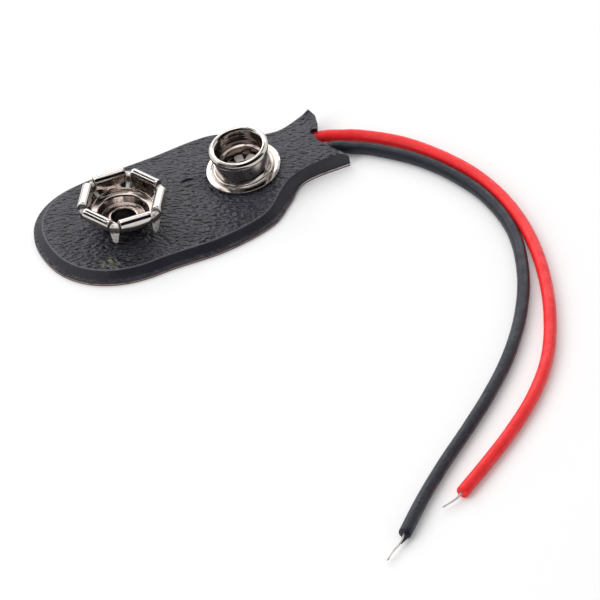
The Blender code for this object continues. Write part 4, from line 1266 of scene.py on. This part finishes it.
def lead_knots(route, side):
    """The lead's route: along the tail's tunnel, out of its mouth and down onto the surface."""
    inside = side * LEAD_SPACING / 2
    rest = LEAD_RADIUS + LEAD_REST
    spots = [(LEAD_START_X, inside, LEAD_INSIDE_Z), (NECK_X, inside, LEAD_INSIDE_Z)]
    for k, (x, y) in enumerate(route):
        share = LEAD_DROP[k] if k < len(LEAD_DROP) else 0
        spots.append((x, y, rest + (LEAD_INSIDE_Z - rest) * share))
    return spots


def lead_line(route, side, back):
    """A lead's centre line, and the way that it points this many steps before its end."""
    line = evenly(lead_knots(route, side), LEAD_STEP)
    return line, unit(line[-back] - line[-back - 1])


def torn_sliver(stop, way, finish):
    """A sliver of insulation that stripping has pulled out along the wire."""
    beside = np.array([-way[1], way[0], -SLIVER_DROP])
    spots = [stop + way * along * MM + beside * apart * MM for along, apart in SLIVER]
    path = evenly(spots, SLIVER_STEP)
    return swept("torn_sliver", path, np.linspace(*SLIVER_RADII, len(path)), SLIVER_SIDES, finish)


def build_lead(name, node, route, side, finish, look, torn=False):
    """One lead: its tube with an eased, cut end."""
    line, way = lead_line(route, side, 2)
    stop = line[-1]
    points = np.vstack([line[:-1], [stop - way * before for before, share in END_CUT_SHARES]])
    shares = [1 - LEAD_WAVER * (0.5 + 0.5 * noise.noise(Vector(place) * LEAD_WAVER_RATE))
              for place in line[:-1]]
    radii = LEAD_RADIUS * np.array(shares + [share for before, share in END_CUT_SHARES])
    made = swept(name, points, radii, look.sides, finish)
    if torn:
        made = joined(made, torn_sliver(stop, way, finish))
    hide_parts(node)
    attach(made, ROOT)


def build_tip(name, node, route, side, tip, finish, look):
    """The bare end of a lead: fine strands twisted together, with a dipped bead at the end."""
    centre, way = lead_line(route, side, 1)
    last = centre[-1]
    falls = [last[2] - TIP_FALL * ((k + 1) / len(tip)) ** 3 for k in range(len(tip))]
    spots = [last - way * TIP_INSIDE, last + way * FIT, *((x, y, z) for (x, y), z in zip(tip, falls))]
    line = evenly(spots, TIP_STEP)
    ways = unit(np.gradient(line, axis=0))
    flat = unit(np.cross(ways, (0, 0, 1)))
    up = np.cross(flat, ways)
    along = np.linspace(0, 1, len(line))
    parts = []
    for k in range(look.strands):
        twist = 2 * math.pi * (k / look.strands + along * curve_length(line) / STRAND_PITCH)
        # The strands close up towards the bead, each a little differently
        loose = (TIP_DIAMETER / 2 - STRAND_RADIUS) * (0.85 - 0.45 * along + 0.1 * np.sin(along * 5 + 2 * k))
        path = line + (flat * np.cos(twist)[:, None] + up * np.sin(twist)[:, None]) * loose[:, None]
        radii = STRAND_RADIUS * (1 - STRAND_TAPER * along)
        parts.append(swept(f"{name}_strand_{k}", path, radii, STRAND_SIDES, finish))
    bead_radii = TIP_DIAMETER * np.array(BEAD_SHARES)
    bead = swept(f"{name}_bead", line[-len(BEAD_SHARES):], bead_radii, BEAD_SIDES, finish)
    made = joined(*parts, bead)
    made.name = name
    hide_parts(node)
    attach(made, ROOT)
    return made


# The stage


def camera_matrix():
    """The camera's place and turn, so that the clip's centre shows where it does in the photograph."""
    azimuth, elevation, roll = (math.radians(v) for v in (CAMERA_AZIMUTH, CAMERA_ELEVATION, CAMERA_ROLL))
    flat, height = turned(1, 0, elevation)
    back = Vector((*turned(0, -flat, azimuth), height))
    level_right = Vector((*turned(1, 0, azimuth), 0))
    level_up = back.cross(level_right)
    right = level_right * math.cos(roll) + level_up * math.sin(roll)
    up = level_up * math.cos(roll) - level_right * math.sin(roll)
    aside = (CLIP_IN_FRAME[0] - 0.5) * SENSOR / CAMERA_LENS
    above = (0.5 - CLIP_IN_FRAME[1]) * SENSOR / CAMERA_LENS
    ahead = (-back - right * aside - up * above).normalized()
    right = (right - ahead * right.dot(ahead)).normalized()
    up = right.cross(ahead)
    turn = Matrix((right, up, -ahead)).transposed().to_4x4()
    return Matrix.Translation(clip_matrix().translation + back * CAMERA_DISTANCE) @ turn


def soft_light(name, power, size, place):
    """A lamp with a wide face, turned to the middle of the cover."""
    lamp = bpy.data.lights.new(name, "AREA")
    lamp.energy = power
    lamp.shape = "RECTANGLE"
    lamp.size, lamp.size_y = size
    made = placed(name, lamp)
    made.location = place
    made.rotation_mode = "QUATERNION"
    made.rotation_quaternion = (-Vector(place)).to_track_quat("-Z", "Y")
    made.visible_camera = False


def seen_directly(tree):
    """1 for what the camera, a reflection or a clear material sees of the background."""
    path = tree.nodes.new("ShaderNodeLightPath")
    either = calc(tree, "MAXIMUM", path.outputs["Is Camera Ray"], path.outputs["Is Glossy Ray"])
    return calc(tree, "MAXIMUM", either, path.outputs["Is Transmission Ray"])


def build_floor(look):
    """A wide pale floor that keeps the shadow, and that can't be seen from below."""
    made, tree, shader = surface("pale_floor", look.floor_colour, 0.9, specular=0.1)
    flecks = noise_at(tree, places(tree), 60.0, Detail=2.0)
    feed(tree, shader.inputs["Base Color"],
         mixed(tree, flecks, look.floor_colour, np.multiply(look.floor_colour, 0.99)))
    glow = add_node(tree, "ShaderNodeEmission", Strength=times(tree, seen_directly(tree), FLOOR_GLOW))
    added = tree.nodes.new("ShaderNodeAddShader")
    either = tree.nodes.new("ShaderNodeMixShader")
    below = tree.nodes.new("ShaderNodeNewGeometry").outputs["Backfacing"]
    clear = tree.nodes.new("ShaderNodeBsdfTransparent")
    for node, values in ((added, (shader.outputs[0], glow.outputs[0])),
                         (either, (below, added.outputs[0], clear.outputs[0]))):
        for socket, value in zip(node.inputs, values):
            feed(tree, socket, value)
    feed(tree, tree.nodes["Material Output"].inputs["Surface"], either.outputs[0])
    mesh = bpy.data.meshes.new("floor")
    corners = ((-1, -1), (1, -1), (1, 1), (-1, 1))
    mesh.from_pydata([(FLOOR_REACH * x, FLOOR_REACH * y, 0) for x, y in corners], [], [(0, 1, 2, 3)])
    mesh.materials.append(made)
    floor = placed("floor", mesh)


def build_cloth(name, colour, distance, middle_deg, half_turn_deg, low_deg, high_deg):
    """A curved cloth round the table, which only reflections see, so that the nickel has contrast."""
    made, tree, shader = surface(name, colour, 0.9, specular=0.0)
    weave = noise_at(tree, places(tree), 40.0)
    feed(tree, shader.inputs["Base Color"], mixed(tree, weave, colour, np.multiply(colour, 1.3)))
    rows, columns = CLOTH_GRID
    verts = []
    for climb in np.linspace(math.radians(low_deg), math.radians(high_deg), rows):
        reach, height = turned(distance, 0, climb)
        for turn in math.radians(middle_deg) + np.linspace(-1, 1, columns) * math.radians(half_turn_deg):
            verts.append((*turned(reach, 0, turn), height))
    mesh = bpy.data.meshes.new(name)
    mesh.from_pydata(verts, [], quads(rows, columns))
    mesh.materials.append(made)
    cloth = placed(name, mesh)
    cloth.visible_camera = False
    cloth.visible_diffuse = False
    cloth.visible_shadow = False
    cloth.visible_transmission = False


def build_sky(look):
    """Even light from all round, and plain white where the background itself is seen."""
    world = bpy.data.worlds.new("studio")
    bpy.context.scene.world = world
    world.use_nodes = True
    tree = world.node_tree
    background = tree.nodes["Background"]
    feed(tree, background.inputs["Color"], (1, 1, 1))
    feed(tree, background.inputs["Strength"],
         calc(tree, "MULTIPLY_ADD", seen_directly(tree), 1.0 - look.sky_level, look.sky_level))


# Operators


class SNAP_OT_stage(bpy.types.Operator):
    """Make the floor, the lights and the camera"""

    bl_idname = "snap_connector.stage"
    bl_label = "Stage"

    def execute(self, context):
        look = context.scene.snap_stage
        build_floor(look)
        for name, values in CLOTHS.items():
            build_cloth(name, *values)
        build_sky(look)
        for name, values in LIGHTS.items():
            soft_light(f"{name}_light", getattr(look, f"{name}_power"), *values)
        lens = bpy.data.cameras.new("camera")
        lens.sensor_width = SENSOR
        lens.lens = CAMERA_LENS
        lens.clip_start, lens.clip_end = CLIPPING
        camera = placed("camera", lens)
        camera.matrix_world = camera_matrix()
        context.scene.camera = camera
        context.scene.view_settings.view_transform = "Standard"
        return {"FINISHED"}


class SNAP_OT_leads(bpy.types.Operator):
    """Make the red and the black lead with their bare ends"""

    bl_idname = "snap_connector.leads"
    bl_label = "Leads"

    def execute(self, context):
        look = context.scene.snap_leads
        tin = tinned_copper(context.scene.snap_metal)
        red = insulation("red_insulation", look.red_colour, RED_ROUGHNESS)
        black = insulation("black_insulation", look.black_colour, BLACK_ROUGHNESS)
        red_tip = build_tip("red_bare_end", "red_tip", RED_ROUTE, 1, RED_TIP, tin, look)
        black_tip = build_tip("black_bare_end", "black_tip", BLACK_ROUTE, -1, BLACK_TIP, tin, look)
        build_lead("red_insulated_lead", "red_lead", RED_ROUTE, 1, red, look)
        build_lead("black_insulated_lead", "black_lead", BLACK_ROUTE, -1, black, look, torn=True)
        return {"FINISHED"}


class SNAP_OT_cover(bpy.types.Operator):
    """Make the two vinyl sheets of the cover"""

    bl_idname = "snap_connector.cover"
    bl_label = "Cover"

    def execute(self, context):
        look = context.scene.snap_cover
        for sheet in (build_top_cover(look), build_back_cover(look)):
            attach(sheet, ROOT)
        return {"FINISHED"}


class SNAP_OT_snaps(bpy.types.Operator):
    """Make the socket clip, the stud and their rivets"""

    bl_idname = "snap_connector.snaps"
    bl_label = "Snaps"

    def execute(self, context):
        look = context.scene.snap_metal
        plating = nickel_plate(look)
        scraped = scraped_nickel(look)
        made = [build_socket_crown(look, plating, scraped), build_stud_cup(look, plating),
                build_socket_rivet(look, plating), build_stud_rivet(look, plating, scraped)]
        for part in made:
            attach(part, ROOT)
        return {"FINISHED"}


class SNAP_OT_inside(bpy.types.Operator):
    """Give the board, the strands and the solder inside the cover their finishes"""

    bl_idname = "snap_connector.inside"
    bl_label = "Inside"

    def execute(self, context):
        tin = bpy.data.materials["tinned_copper"]
        finishes = {"insulating_board": pressed_fibre(), "red_strand": tin, "black_strand": tin,
                    "socket_solder": tin, "stud_solder": tin}
        for name, finish in finishes.items():
            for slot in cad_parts[name].material_slots:
                slot.material = finish
        return {"FINISHED"}


class SNAP_PT_connector(bpy.types.Panel):
    """Lists what builds the snap connector"""

    bl_idname = "SNAP_PT_connector"
    bl_label = "Battery snap connector"
    bl_space_type = "VIEW_3D"
    bl_region_type = "UI"
    bl_category = "Snap"

    def draw(self, context):
        layout = self.layout
        for kind, look in ((SNAP_OT_stage, "snap_stage"), (SNAP_OT_leads, "snap_leads"),
                           (SNAP_OT_cover, "snap_cover"), (SNAP_OT_snaps, "snap_metal"),
                           (SNAP_OT_inside, None)):
            box = layout.box()
            box.operator(kind.bl_idname)
            if look:
                settings = getattr(context.scene, look)
                for name in settings.__annotations__:
                    box.prop(settings, name)


LOOKS = {"snap_cover": CoverLook, "snap_metal": MetalLook, "snap_leads": LeadLook, "snap_stage": StageLook}
CLASSES = (*LOOKS.values(), SNAP_OT_stage, SNAP_OT_leads, SNAP_OT_cover, SNAP_OT_snaps, SNAP_OT_inside,
           SNAP_PT_connector)


def register():
    for kind in CLASSES:
        bpy.utils.register_class(kind)
    for name, kind in LOOKS.items():
        setattr(bpy.types.Scene, name, PointerProperty(type=kind))


def unregister():
    for name in LOOKS:
        delattr(bpy.types.Scene, name)
    for kind in reversed(CLASSES):
        bpy.utils.unregister_class(kind)


def main():
    register()
    bpy.ops.snap_connector.stage()
    bpy.ops.snap_connector.leads()
    bpy.ops.snap_connector.cover()
    bpy.ops.snap_connector.snaps()
    bpy.ops.snap_connector.inside()


if __name__ == "__main__":
    main()
